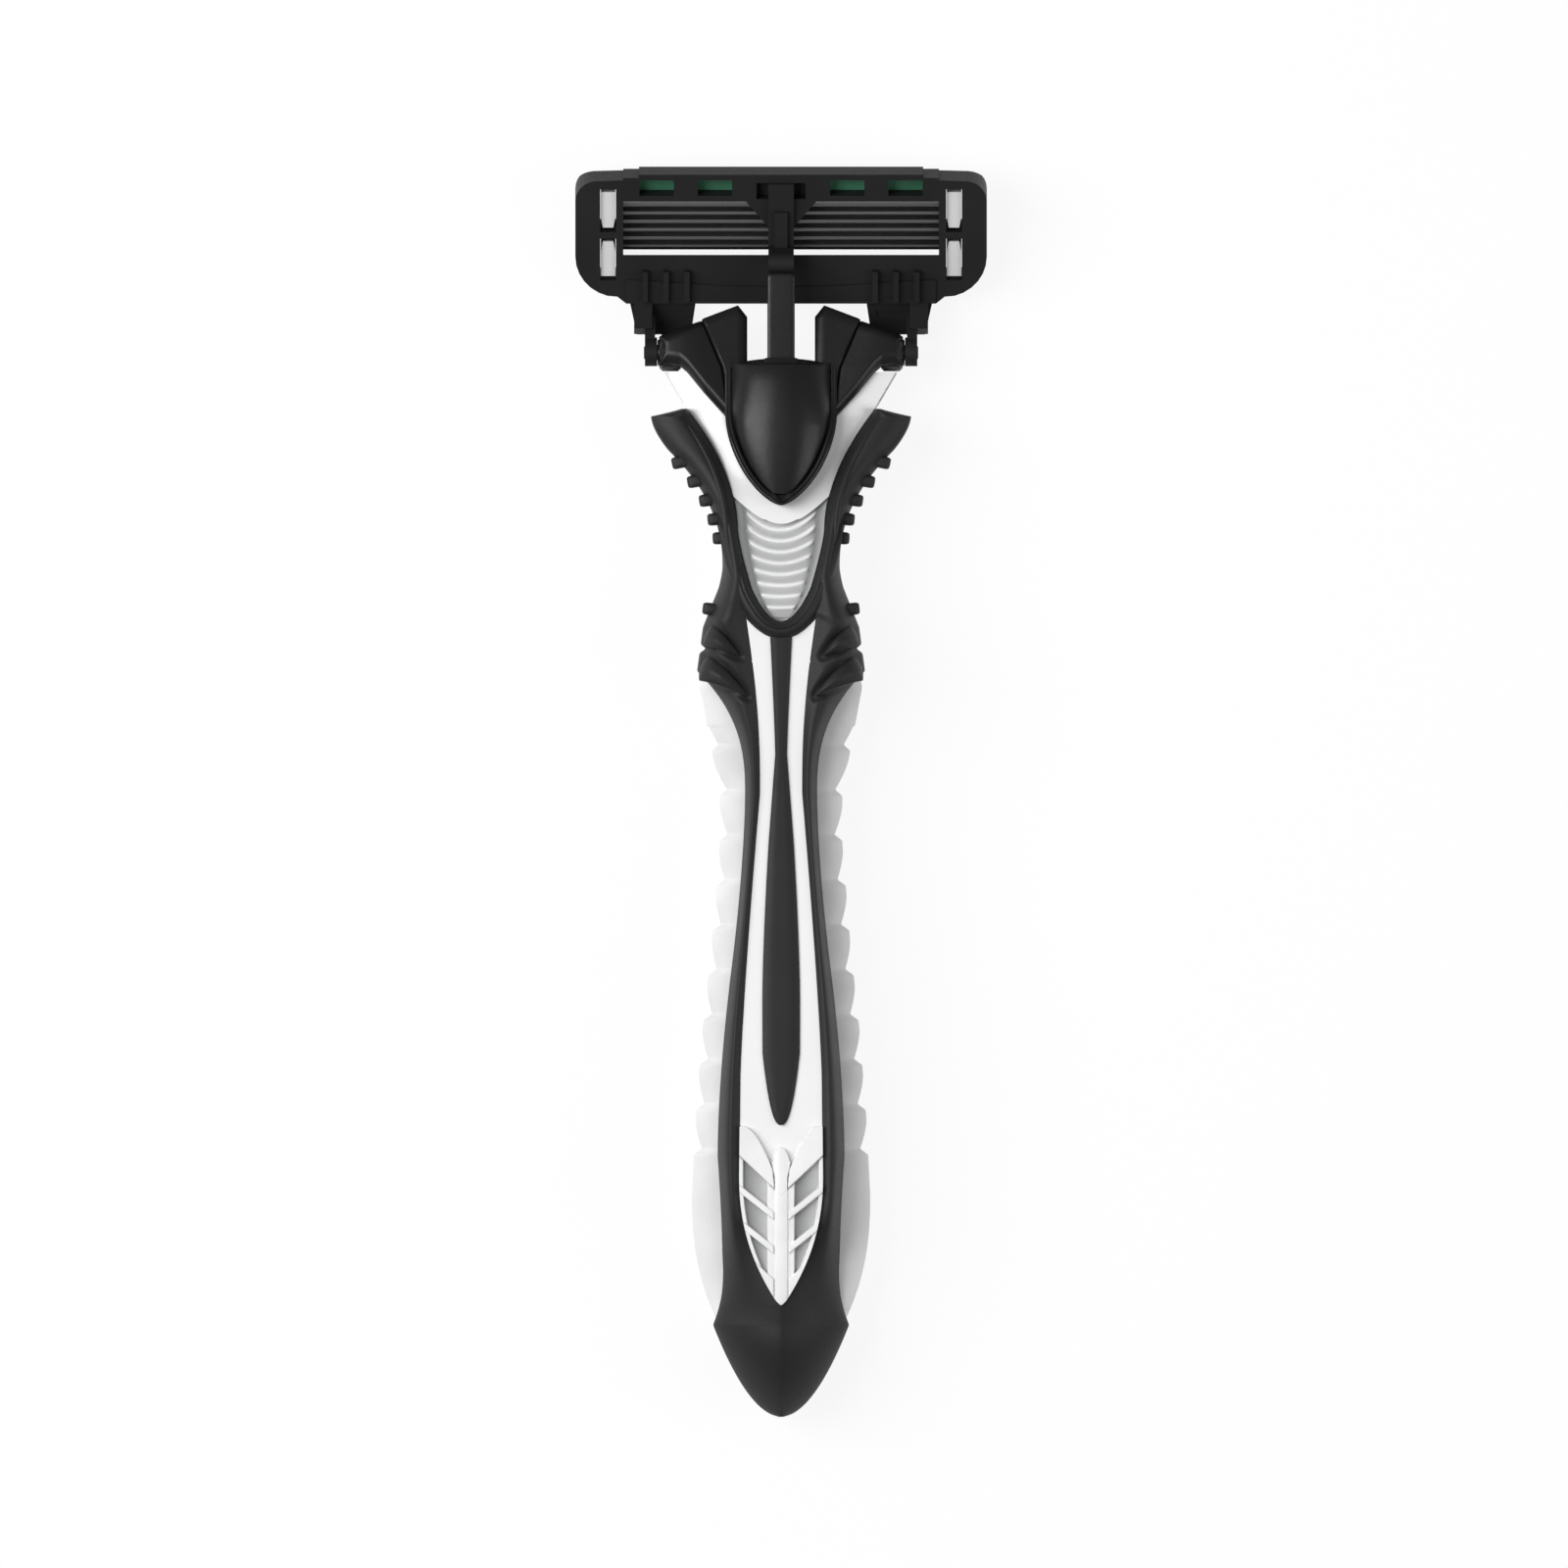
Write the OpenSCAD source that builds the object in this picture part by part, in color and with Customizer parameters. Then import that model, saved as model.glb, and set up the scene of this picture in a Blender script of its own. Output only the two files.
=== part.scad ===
// Cartridge razor with a pivoting six-blade head and a push-off release button.
// X runs across, Y along the handle towards the head, Z up on the thumb side.
// The razor lies on the floor on the guard of the cartridge and on its back grip.

/* [Cartridge] */
// Width of the cartridge over its end caps
head_width = 42;  // [38:0.5:46]
// Height of the cartridge from guard to cap
head_height = 14;  // [13.4:0.1:15]
// Thickness of the cartridge from shaving face to back
head_depth = 4;  // [3.8:0.1:4.4]
// Lean of the cartridge at rest, in degrees
head_tilt = 20;  // [16:1:24]
// Distance from one blade to the next
blade_pitch = 0.9;  // [0.86:0.02:0.92]
// Thickness of one blade
blade_thick = 0.25;  // [0.15:0.05:0.3]
// Height of the guard below the open slot
guard_height = 5.3;  // [5:0.1:5.5]
// Width of the spine up the middle of the back
spine_width = 2.6;  // [2.2:0.1:2.8]
// Width of the aluminium clips
clip_width = 1.6;  // [1.2:0.1:1.8]
// Thickness of the aluminium clips
clip_thick = 0.5;  // [0.4:0.05:0.7]

/* [Hinge] */
// Diameter of the two hinge pins
pin_d = 1.6;  // [1.4:0.1:1.8]
// Distance between the outer ends of the pins
pin_span = 28;  // [27.2:0.2:28.4]
// Running clearance round each pin
pin_clear = 0.05;  // [0.03:0.01:0.08]
// Wall of the hook round each pin
hook_wall = 0.7;  // [0.6:0.05:0.8]
// Height of the hinge axis over the floor
pivot_z = 5;  // [4.8:0.1:5.2]
// Distance from the hinge axis to the back of the guard
pivot_reach = 5;  // [4.9:0.05:5.2]
// Swing of the cartridge, in degrees
pivot_swing = 35;  // [20:1:35]

/* [Release] */
// Width of the plunger
plunger_width = 2.8;  // [2.4:0.1:3.2]
// Thickness of the plunger
plunger_thick = 1.6;  // [1.4:0.1:1.8]
// Travel of the release button
button_travel = 2;  // [1:0.1:2.2]
// Half width of the button dome at its shoulders
button_half = 5;  // [4.8:0.1:5.1]
// Outside diameter of the two springs
spring_d = 1.6;  // [1.4:0.1:1.8]

/* [Handle] */
// Length of the handle from its tail to the hinge axis
handle_length = 108.6;  // [104:0.5:114]
// Half width of the grip at its waist
waist_half = 3.5;  // [3.2:0.1:4]
// Half width of the grip at its belly
belly_half = 6.3;  // [6:0.1:6.8]
// How far the back grip stands out past the rubber rim
back_lip = 2.4;  // [2:0.1:2.8]
// Half width over the tips of the thumb rest arms
arm_half = 13.1;  // [12.5:0.1:13.6]
// Height of the front face at the belly
belly_height = 13;  // [12:0.25:14]
// Height of the front face at the waist
waist_height = 11.5;  // [11:0.25:12.5]
// Height of the front face under the thumb
thumb_height = 12.5;  // [12:0.25:13.5]
// Height of the seam between the front pieces and the back grip
seam_height = 6.5;  // [6:0.25:7]
// How far the rubber stands above the white face
rim_rise = 0.35;  // [0.2:0.05:0.5]
// Depth of one scallop of the back grip
scallop_depth = 0.7;  // [0.4:0.05:0.9]
// Gap left between pieces that are moulded on each other
skin = 0.05;  // [0.02:0.01:0.1]
// Gap left between pieces that slide past each other
slide_gap = 0.2;  // [0.15:0.05:0.25]

/* [Hidden] */
$fn = 48;

// places along the handle, measured from the hinge axis
cap_bevel = 1.6;
head_reach = pivot_reach + (head_depth - cap_bevel) * sin(head_tilt) + head_height * cos(head_tilt);
pivot_y = (handle_length - head_reach) / 2;
tail_y = pivot_y - handle_length;
function at(back) = pivot_y - back * handle_length / 108.6;
corner_y = at(99.2);
belly_y = at(82);
waist_y = at(45);
claw_y = at(32.5);
notch_y = at(21.8);
arm_y = at(6.4);
crotch_y = at(27.4);
bridge_y = at(29.2);
window_y = at(97.2);
strip_end_y = at(78.8);
insert_y = at(79.2);
pad_top_y = at(15.9);
fork_y = at(2);
cheek_y = at(6.5);
bezel_tip_y = at(15.6);

// a value that goes from point to point along y, with a bend for each stretch
function bent(t, p) = p > 0 ? pow(t, p) : 1 - pow(1 - t, -p);
function along(y, k, i = 0) =
    y <= k[0][0] ? k[0][1] :
    i > len(k) - 2 ? k[len(k) - 1][1] :
    y > k[i + 1][0] ? along(y, k, i + 1) :
    k[i][1] + (k[i + 1][1] - k[i][1]) * bent((y - k[i][0]) / (k[i + 1][0] - k[i][0]), k[i][2]);
function wave(t) = (1 - cos(360 * t)) / 2;

// front rubber outline, inner edge of the rim, outline of the back grip
function rim_out(y) = along(y, [[tail_y, 0.3, 0.53], [corner_y, belly_half + 0.65, -2.2],
    [at(93), belly_half - 0.5, 1.6], [belly_y, belly_half, 1.7],
    [at(63), (belly_half + waist_half) / 2, -1.6], [waist_y, waist_half, 2.6],
    [claw_y, 8.4, 1], [at(28), 7.8, 1], [at(24), 6.2, -1.5], [notch_y, 5.8, 2.2],
    [at(10), arm_half - 1.8, -1.6], [cheek_y, arm_half, 1]]);
function rim_in(y) = along(y, [[window_y, 0.25, -2.2], [at(84), 4.3, 1], [at(74), 4.2, 1.25], [waist_y, 2.2, 2.6],
    [bridge_y, 3.6, 1], [crotch_y - 0.02, 3.6, 1], [crotch_y, 0.4, -2.6], [at(18), 4.5, 1.9],
        [at(5), 10.2, 1]]);
function strip_half(y) = along(y, [[strip_end_y, 0.15, 0.42], [at(71.5), 1.9, -2], [at(66), 1.92, 1.5],
    [at(50), 1.28, 1], [at(41), 0.6, 1.2],
    [bridge_y, 1.1, 1]]);
function back_half(y) = along(y, [[corner_y, belly_half, -2.4], [at(86), belly_half + back_lip + 0.3, 1],
    [at(70), belly_half + back_lip - 0.9, 1], [at(49), waist_half + back_lip, 1.5],
    [at(34), waist_half + back_lip + 2.4, -2], [at(30), waist_half + back_lip + 1.6, 1.3],
    [notch_y, 5.2, 1.6], [at(8), 9.5, 1]]);

// heights of the front face, the seam and the back
function face_z(y) = along(y, [[tail_y, seam_height - 1, -2.2], [corner_y, belly_height - 1.6, -2],
    [belly_y, belly_height, 1.8], [waist_y, waist_height, 1.6], [at(28), thumb_height, 1.4],
    [at(14), thumb_height - 0.7, 1.6], [at(0), thumb_height - 2.6, 1]]);
function seam_z(y) = along(y, [[tail_y, seam_height - 1.6, -2], [corner_y, seam_height, 1],
    [waist_y, seam_height + 0.5, 1], [at(0), seam_height - 0.6, 1]]);
function back_z(y) = along(y, [[corner_y, 1.6, -2], [belly_y, 0, 1.6], [waist_y, 2.4, 1.4],
    [at(0), 2.8, 1]]);
scallop_low = at(81.3);
scallop_top = at(40.1);
scallop_pitch = (scallop_top - scallop_low) / 9;
// each scale starts with a step and narrows towards the next one
function notch(y) = y < scallop_low - 0.01 || y > scallop_top + 0.01 ? 0 :
    let(q = (scallop_top - y) / scallop_pitch, f = q - floor(q + 0.001))
    scallop_depth * (f < 0.02 ? 1 : pow(max(0, (f - 0.3) / 0.7), 1.5));

function steps(a, b, n) = [for (i = [0 : n]) a + (b - a) * i / n];

// a solid between an upper and a lower grid of points, leaving out the cells marked false
module sheet(up, low, keep = undef) {
    n = len(up);
    m = len(up[0]);
    all = concat([for (r = up) each r], [for (r = low) each r]);
    function ok(i, j) = i >= 0 && j >= 0 && i < n - 1 && j < m - 1 && (keep == undef || keep[i][j]);
    function flat(a, b, c) = norm(cross(all[b] - all[a], all[c] - all[a])) < 1e-7;
    function quad(a, b, c, d) = concat(flat(a, b, c) ? [] : [[a, b, c]], flat(a, c, d) ? [] : [[a, c, d]]);
    faces = [for (i = [0 : n - 2], j = [0 : m - 2]) if (ok(i, j))
        let(a = i * m + j, b = a + m, k = n * m)
        each concat(
            quad(a, b, b + 1, a + 1),
            quad(a + k, a + 1 + k, b + 1 + k, b + k),
            ok(i - 1, j) ? [] : quad(a, a + 1, a + 1 + k, a + k),
            ok(i + 1, j) ? [] : quad(b + 1, b, b + k, b + 1 + k),
            ok(i, j - 1) ? [] : quad(b, a, a + k, b + k),
            ok(i, j + 1) ? [] : quad(a + 1, b + 1, b + 1 + k, a + 1 + k))];
    polyhedron(all, faces);
}

// neck: the shelf that the yoke lies on falls towards the hinge
neck_slope = 14;
shelf_0 = pivot_z + 0.8;
yoke_floor = 1.4;
function shelf_z(y) = shelf_0 + (pivot_y - y) * tan(neck_slope);
function top_z(y) = y > bezel_tip_y ? shelf_z(y) :
    y > at(28) ? face_z(at(28)) + (shelf_z(bezel_tip_y) - face_z(at(28)))
        * bent((y - at(28)) / (bezel_tip_y - at(28)), 1.3) :
    face_z(y);
function leaf(y, half) = let(t = max(0, min(1, (at(6.45) - y) / (at(6.45) - bezel_tip_y))))
    half * pow(1 - pow(t, 1.7), 0.65);
leaf_half = button_half + 0.7;
pad_sink = 1;
bridge_sink = 1.2;
slot_half = plunger_width / 2 + slide_gap;

// plunger and the nose of the spine that it presses on
plunger_z = pivot_z + 2.5;
plunger_tip_y = pivot_y + pivot_reach + 3.1;
plunger_end_y = pivot_y - 4.8;
spring_end_y = plunger_end_y - 7;
groove_z = plunger_z + plunger_thick / 2 - max(spring_d, plunger_thick) / 2 - slide_gap;
nose_r = 1;
nose_y = plunger_tip_y + skin + nose_r;
nose_z = plunger_z + plunger_thick / 2;
function nose_at(a) = (nose_y - pivot_y) * cos(a) - (nose_z - pivot_z) * sin(a);
plunger_ratio = (nose_at(0) - nose_at(pivot_swing)) / (pivot_swing * PI / 180);
echo(pivot_y = pivot_y, plunger_mm_per_rad = plunger_ratio,
    plunger_back = nose_at(0) - nose_at(pivot_swing));
echo(spring_end_y = spring_end_y, plunger_end_y = plunger_end_y);

// the curved rows of the thumb pad: ends of a row lie further forward than its middle
smile_rise = 0.75 * (spring_end_y - bezel_tip_y);
function smile(y) = along(y, [[crotch_y, 0, 1.6], [pad_top_y - 1.6, smile_rise, 1],
    [bezel_tip_y, smile_rise, 1],
    [spring_end_y - 0.1, 0, 1]]);
function core_half(y) = y < at(6) ? rim_in(y) - skin : along(y,
    [[at(6), rim_in(at(6)) - skin, 1], [fork_y, arm_half - 1.4, 1]]);

neck_lap = 0.4;
function neck_half(y) = along(y, [[at(31.4), waist_half + back_lip + 1.2, -2], [notch_y, 5.2, 1.8],
    [at(5.6), arm_half - 3.3, 1],
    [fork_y, arm_half - 1.2, 1]]);

module handle_core() {
    // the white body: rows of points across, with a groove for the plunger in the neck
    rows = concat(steps(window_y + 0.6, bridge_y - 0.02, 26), [bridge_y, crotch_y + 0.1],
        steps(crotch_y + 0.12, pad_top_y - 1.6, 8), steps(pad_top_y - 1.58, bezel_tip_y, 2),
        steps(bezel_tip_y + 0.6, spring_end_y - skin, 2), steps(spring_end_y, fork_y, 8));
    function sink(y) = y >= bridge_y && y < crotch_y + 0.11 ? bridge_sink :
        y > crotch_y && y < pad_top_y - 1.59 ? pad_sink : 0;
    function groove(y) = y >= spring_end_y ? groove_z : top_z(y) - sink(y);
    function px(y, u) = u * core_half(y + smile(y) * u * u);
    function lip(y) = min(slot_half, px(y, 0.4));
    function cols(y) = concat([for (u = [-1, -0.75, -0.5]) [px(y, u), u, 0]],
        [[-lip(y), 0.4, 0], [-lip(y), 0.4, 1], [lip(y), 0.4, 1], [lip(y), 0.4, 0]],
        [for (u = [0.5, 0.75, 1]) [px(y, u), u, 0]]);
    function up(y) = [for (c = cols(y)) let(yy = y + smile(y) * c[1] * c[1])
        [c[0], yy, min(c[2] * groove(y) + (1 - c[2]) * 99, top_z(yy) - sink(y))]];
    function low(y) = [for (c = cols(y)) let(yy = y + smile(y) * c[1] * c[1])
        [c[0], yy, seam_z(yy) + (yy > at(31.4) ? -neck_lap : skin)]];
    // the back of the neck, which the arms of the rubber grip lie on
    neck_rows = steps(at(31.4), fork_y, 16);
    ws = [-1, -0.94, -0.75, -0.4, 0, 0.4, 0.75, 0.94, 1];
    function neck_low(y, w) = seam_z(y) - 0.9 - (seam_z(y) - 0.9 - back_z(y)) * pow(1 - pow(abs(w),
        2.4), 0.55);
    color("white") {
        sheet([for (y = rows) up(y)], [for (y = rows) low(y)]);
        sheet([for (y = neck_rows) [for (w = ws) [w * neck_half(y), y, seam_z(y)]]],
            [for (y = neck_rows) [for (w = ws) [w * neck_half(y), y, neck_low(y, w)]]]);
    }
}

// cleats on the thumb rests and the two claws below them
function cleat(y) = max([for (k = [0 : 5]) let(c = k < 5 ? at(11.1 + 1.95 * k) : at(26.2),
    d = abs(y - c) / 0.62)
    d < 1 ? 0.95 * pow(1 - pow(d, 4), 0.5) : 0]) - (abs(y - at(30.2)) < 0.5 ?
        0.7 * wave((y - at(30.7)) / 1) : 0);

module rubber_grip() {
    tail_rows = steps(tail_y, corner_y, 10);
    grip_rows = concat([corner_y + 0.01], steps(corner_y + 1, window_y - 0.02, 3),
        steps(window_y, bridge_y - 0.02, 22),
        [bridge_y, crotch_y - 0.01, crotch_y + 0.02], steps(crotch_y + 0.3, cheek_y - 0.1, 46),
            steps(cheek_y, at(5.8), 3));
    rows = concat(tail_rows, grip_rows);
    us = [1, 0.9, 0.65, 0.3, 0];
    function wide(y) = y > cheek_y ?
        rim_in(y) + 0.3 + (arm_half - rim_in(cheek_y)) * (at(5.7) - y) / (at(5.7) - cheek_y) :
        rim_out(y) + cleat(y);
    function hole(y) = min(rim_in(y), wide(y) * 0.5);
    function inner(y) = y < window_y ? wide(y) * 0.3 : rim_in(y);
    function edge(y, u) = top_z(y) + rim_rise - (top_z(y) + rim_rise - seam_z(y)) * 0.5 * pow(u, 3);
    function tail_up(y, u) = seam_z(y) + (top_z(y) + rim_rise - seam_z(y)) * pow(max(0,
        1 - pow(u, 2.2)), 0.6);
    function tail_low(y, u) = seam_z(y) - 0.3
        - (seam_z(y) - 0.3 - back_z(y)) * bent((y - tail_y) / (corner_y - tail_y), -2)
        * pow(max(0, 1 - pow(u, 2.2)), 0.6);
    function half_up(y, s) = y <= corner_y ?
        [for (u = us) [s * u * wide(y), y, tail_up(y, u)]] :
        [for (u = us) [s * (inner(y) + u * (wide(y) - inner(y))), y,
            edge(y, y < window_y ? (0.3 + 0.7 * u) : u)]];
    function half_low(y, s) = y <= corner_y ?
        [for (u = us) [s * u * wide(y), y, tail_low(y, u)]] :
        [for (u = us) [s * (inner(y) + u * (wide(y) - inner(y))), y, seam_z(y) + skin]];
    function bar(y) = y > corner_y && y >= bridge_y - 0.01 && y < crotch_y + 0.01 ?
        top_z(y) - bridge_sink + skin : seam_z(y) + skin;
    function mid_up(y) = [for (s = [-1, 0, 1]) y <= corner_y ? [0, y, tail_up(y, 0)] :
        [s * inner(y), y, top_z(y) + rim_rise - (y < window_y ? 0.02 : 0)]];
    function mid_low(y) = [for (s = [-1, 0, 1]) y <= corner_y ?
        [0, y, tail_low(y, 0)] : [s * inner(y), y, bar(y)]];
    function flip(v) = [for (i = [len(v) - 1 : -1 : 0]) v[i]];
    up = [for (y = rows) concat(half_up(y, -1), mid_up(y), flip(half_up(y, 1)))];
    low = [for (y = rows) concat(half_low(y, -1), mid_low(y), flip(half_low(y, 1)))];
    function solid_at(y) = y < window_y - 0.01 || (y >= bridge_y - 0.001 && y < crotch_y - 0.02);
    keep = [for (i = [0 : len(rows) - 2]) [for (j = [0 : len(up[0]) - 2]) j < 4 || j > 7 ?
        true : solid_at(rows[i])]];
    color([0.08, 0.08, 0.09]) sheet(up, low, keep);
}

module back_grip() {
    rows = concat([corner_y + 0.1], steps(corner_y + 2, scallop_low - scallop_pitch / 6, 5),
        steps(scallop_low, scallop_top, 54), steps(at(38.7), at(31.6), 6));
    us = [-1, -0.94, -0.8, -0.55, -0.25, 0.25, 0.55, 0.8, 0.94, 1];
    function half(y) = back_half(y) - notch(y);
    function low(y, u) = seam_z(y) - 0.6 - (seam_z(y) - 0.6 - back_z(y)) * pow(1 - pow(abs(u), 2.4), 0.55);
    color([0.9, 0.9, 0.9]) sheet([for (y = rows) [for (u = us) [u * half(y), y, seam_z(y)]]],
        [for (y = rows) [for (u = us) [u * half(y), y, low(y, u)]]]);
}

module centre_strip() {
    rows = [for (i = [0 : 26]) strip_end_y + (bridge_y - 0.1 - strip_end_y) * pow(i / 26, 1.5)];
    us = [-1, -0.6, 0.6, 1];
    color([0.08, 0.08, 0.09]) sheet(
        [for (y = rows) [for (u = us) [u * strip_half(y), y,
            top_z(y) + skin + rim_rise * (abs(u) < 1 ? 1 : 0.6)]]],
        [for (y = rows) [for (u = us) [u * strip_half(y), y, top_z(y) + skin]]]);
}

module thumb_pad() {
    first_y = crotch_y + 0.35;
    last_y = pad_top_y - 1.62;
    rows = steps(first_y, last_y, 40);
    us = [-1, -0.8, -0.5, -0.2, 0.2, 0.5, 0.8, 1];
    function px(y, u) = u * (core_half(y + smile(y) * u * u) - skin);
    function rib(y) = 0.45 * pow(wave((y - first_y) / (last_y - first_y) * 9), 2);
    color([0.75, 0.76, 0.77]) sheet(
        [for (y = rows) [for (u = us) let(yy = y + smile(y) * u * u)
            [px(y, u), yy, top_z(yy) - 0.5 + (abs(u) < 0.9 ? rib(y) : 0)]]],
        [for (y = rows) [for (u = us) let(yy = y + smile(y) * u * u) [px(y, u), yy,
            top_z(yy) - pad_sink + skin]]]);
}

module tail_insert() {
    rows = steps(window_y + 1, insert_y, 34);
    us = [-1, -0.6, -0.2, -0.12, 0.12, 0.2, 0.6, 1];
    function half(y) = max(0.15, min(rim_in(y) - 0.35, 4.2 * pow((insert_y - y) / 6, 0.5) + 0.3));
    function rib(y, u) = 0.4 * pow(wave((y + abs(u) * 2.4 - window_y) / 4.1), 2);
    color([0.85, 0.86, 0.87]) sheet(
        [for (y = rows) [for (u = us) [u * half(y), y, top_z(y) + skin + (abs(u) < 0.15 ?
            0.6 : 0.25 + rib(y, u))]]],
        [for (y = rows) [for (u = us) [u * half(y), y, top_z(y) + skin]]]);
}

// yoke: a plate on the shelf, with wings, pins, and a bezel round the button
module on_shelf() {
    translate([0, pivot_y, shelf_0]) rotate([-neck_slope, 0, 0]) children();
}
function down(y) = (y - pivot_y) / cos(neck_slope);
wing_end = pin_span / 2 - 1.6;
prong_in = slot_half + 1.85;
front_y = pivot_y - 1.7;
bezel_rise = 1;
knuckle_r = pin_d / 2 + 1.1;
button_tip_y = bezel_tip_y + 0.75;
function dome_half(y) = leaf(y - 0.35, button_half);
post_y = at(4.3);

module yoke_plan() {
    side = [for (y = steps(bezel_tip_y, at(6.45), 12)) [leaf(y, leaf_half) + 0.02, down(y)]];
    wing = [[leaf_half + 2.1, down(at(4.2))], [wing_end - 2.8, -2.1], [wing_end - 1.2, -1.4],
        [wing_end, -1.6],
        [wing_end, 1.5], [wing_end - 3, 2.7], [prong_in + 1, 4.5], [prong_in, 3.4],
            [prong_in, down(front_y)]];
    polygon(concat(side, wing, [for (i = [len(wing) - 1 : -1 : 0]) [-wing[i][0], wing[i][1]]],
        [for (i = [len(side) - 1 : -1 : 0]) [-side[i][0], side[i][1]]]));
}

module bezel_plan() {
    rows = steps(bezel_tip_y, front_y, 16);
    in_rows = steps(button_tip_y - 0.25, front_y + 0.5, 16);
    difference() {
        polygon(concat([for (y = rows) [leaf(y, leaf_half) + 0.02, down(y)]],
            [for (i = [16 : -1 : 0]) [-leaf(rows[i], leaf_half) - 0.02, down(rows[i])]]));
        polygon(concat([for (y = in_rows) [dome_half(y + 0.25) + slide_gap, down(y)]],
            [for (i = [16 : -1 : 0]) [-dome_half(in_rows[i] + 0.25) - slide_gap, down(in_rows[i])]]));
    }
}

module pivot_yoke() {
    color([0.12, 0.12, 0.13]) {
        difference() {
            on_shelf() {
                translate([0, 0, skin]) linear_extrude(yoke_floor - skin) yoke_plan();
                translate([0, 0, skin]) linear_extrude(yoke_floor + bezel_rise - skin) bezel_plan();
                translate([slot_half + 0.9, down(post_y), yoke_floor - 0.2]) cube([1.1, 0.8, 1.4]);
            }
            translate([-slot_half, spring_end_y, 0]) cube([2 * slot_half, pivot_y - spring_end_y, 20]);
        }
        for (s = [-1, 1]) translate([s * wing_end, pivot_y, pivot_z]) rotate([0, s * 90, 0]) {
            translate([0, 0, -2.2]) cylinder(r = knuckle_r, h = 2.2);
            translate([0, 0, -1]) cylinder(d = pin_d, h = pin_span / 2 - wing_end + 1);
        }
    }
}

module release_button() {
    rows = steps(button_tip_y, front_y + 0.3, 14);
    us = [-1, -0.97, -0.85, -0.6, -0.3, 0, 0.3, 0.6, 0.85, 0.97, 1];
    function t(y) = (y - button_tip_y) / (front_y + 0.3 - button_tip_y);
    function crest(y) = 0.5 + 2.9 * bent(t(y), -2) - 0.4 * pow(t(y), 4);
    function up(y, u) = yoke_floor + 0.4 + (crest(y) - 0.4) * pow(max(0, 1 - pow(abs(u), 2.4)), 0.6);
    color([0.1, 0.1, 0.11]) difference() {
        on_shelf() sheet(
            [for (y = rows) [for (u = us) [u * max(0.2, dome_half(y)), down(y), up(y, u)]]],
            [for (y = rows) [for (u = us) [u * max(0.2, dome_half(y)), down(y), yoke_floor + skin]]]);
        translate([-slot_half, spring_end_y - 0.5, 0])
            cube([2 * slot_half, pivot_y - spring_end_y + 2,
                plunger_z + plunger_thick + slide_gap + button_travel * sin(neck_slope)]);
        on_shelf() translate([slot_half + 0.7, down(at(9.4)), 0])
            cube([1.5, down(at(3)) - down(at(9.4)), yoke_floor + 1.5]);
    }
}

module button_spring() {
    on_shelf() translate([slot_half + 1.45, down(at(9.4)) + skin, yoke_floor + 0.75]) rotate([-90, 0, 0])
        color([0.7, 0.7, 0.72]) difference() {
            cylinder(d = 1, h = down(post_y) - down(at(9.4)) - 2 * skin);
            translate([0, 0, -1]) cylinder(d = 0.5, h = 20);
        }
}

module plunger() {
    color([0.12, 0.12, 0.13]) {
        translate([-plunger_width / 2, plunger_end_y, plunger_z])
            cube([plunger_width, plunger_tip_y - plunger_end_y, plunger_thick]);
        translate([0, plunger_end_y + 0.5, nose_z]) rotate([90, 0, 0]) cylinder(d = spring_d - 0.9, h = 3);
    }
}

module plunger_spring() {
    color([0.7, 0.7, 0.72]) translate([0, plunger_end_y - skin, nose_z]) rotate([90, 0, 0]) difference() {
        cylinder(d = spring_d, h = plunger_end_y - spring_end_y - 2 * skin);
        translate([0, 0, -1]) cylinder(d = spring_d - 0.7, h = 20);
    }
}

// cartridge: drawn flat with its shaving face at z = 0 and its guard at y = 0, then leant back
head_y = pivot_y + pivot_reach + head_depth * sin(head_tilt);
function head_s(y, z) = (y - head_y) * cos(head_tilt) + z * sin(head_tilt);
function head_n(y, z) = z * cos(head_tilt) - (y - head_y) * sin(head_tilt);
module lean() {
    translate([0, head_y, 0]) rotate([head_tilt, 0, 0]) children();
}
head_half = head_width / 2;
frame_half = head_half - 4.9;
cap_s = guard_height + 5.8;
first_blade = guard_height + 0.4;
blade_low = 0.3;
blade_high = 2.4;
blade_bend = 1;
blade_lip = blade_pitch + 0.22;
strip_deep = 2.2;
pivot_s = head_s(pivot_y, pivot_z);
pivot_n = head_n(pivot_y, pivot_z);
hook_r = pin_d / 2 + pin_clear + hook_wall;
hook_in = wing_end + 0.25;
hook_out = pin_span / 2 - 0.1;
function arc(x, y, r, a, b) = [for (i = [0 : 6]) [x + r * cos(a + (b - a) * i / 6),
    y + r * sin(a + (b - a) * i / 6)]];

module head_plan() {
    side = concat([[frame_half - 0.3, 0], [frame_half + 0.6, 0.75]], arc(head_half - 4.4, 5.1, 4.4, -75, 0),
        arc(head_half - 2.2, head_height - 2.9, 2.2, 0, 80), [[frame_half, head_height - 0.6],
        [frame_half, head_height - 0.35], [frame_half - 1.6, head_height - 0.35],
            [frame_half - 1.6, head_height]]);
    polygon(concat(side, [for (i = [len(side) - 1 : -1 : 0]) [-side[i][0], side[i][1]]]));
}

// a blade is a bent strip: an upright back, and a lip that leans towards the guard and ends in the edge
module blade_bar(k, grow) {
    t = blade_thick / 2;
    translate([-frame_half - 0.6 - grow, first_blade + (k - 1) * blade_pitch, 0])
        rotate([90, 0, 90]) linear_extrude(2 * frame_half + 1.2 + 2 * grow)
        polygon([[-t - grow, blade_high + grow], [-t - grow, blade_bend + t],
            [-blade_lip - grow, blade_low + t + grow], [-blade_lip - grow, blade_low - grow],
            [t + grow, blade_bend - t - grow], [t + grow, blade_high + grow]]);
}

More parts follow.
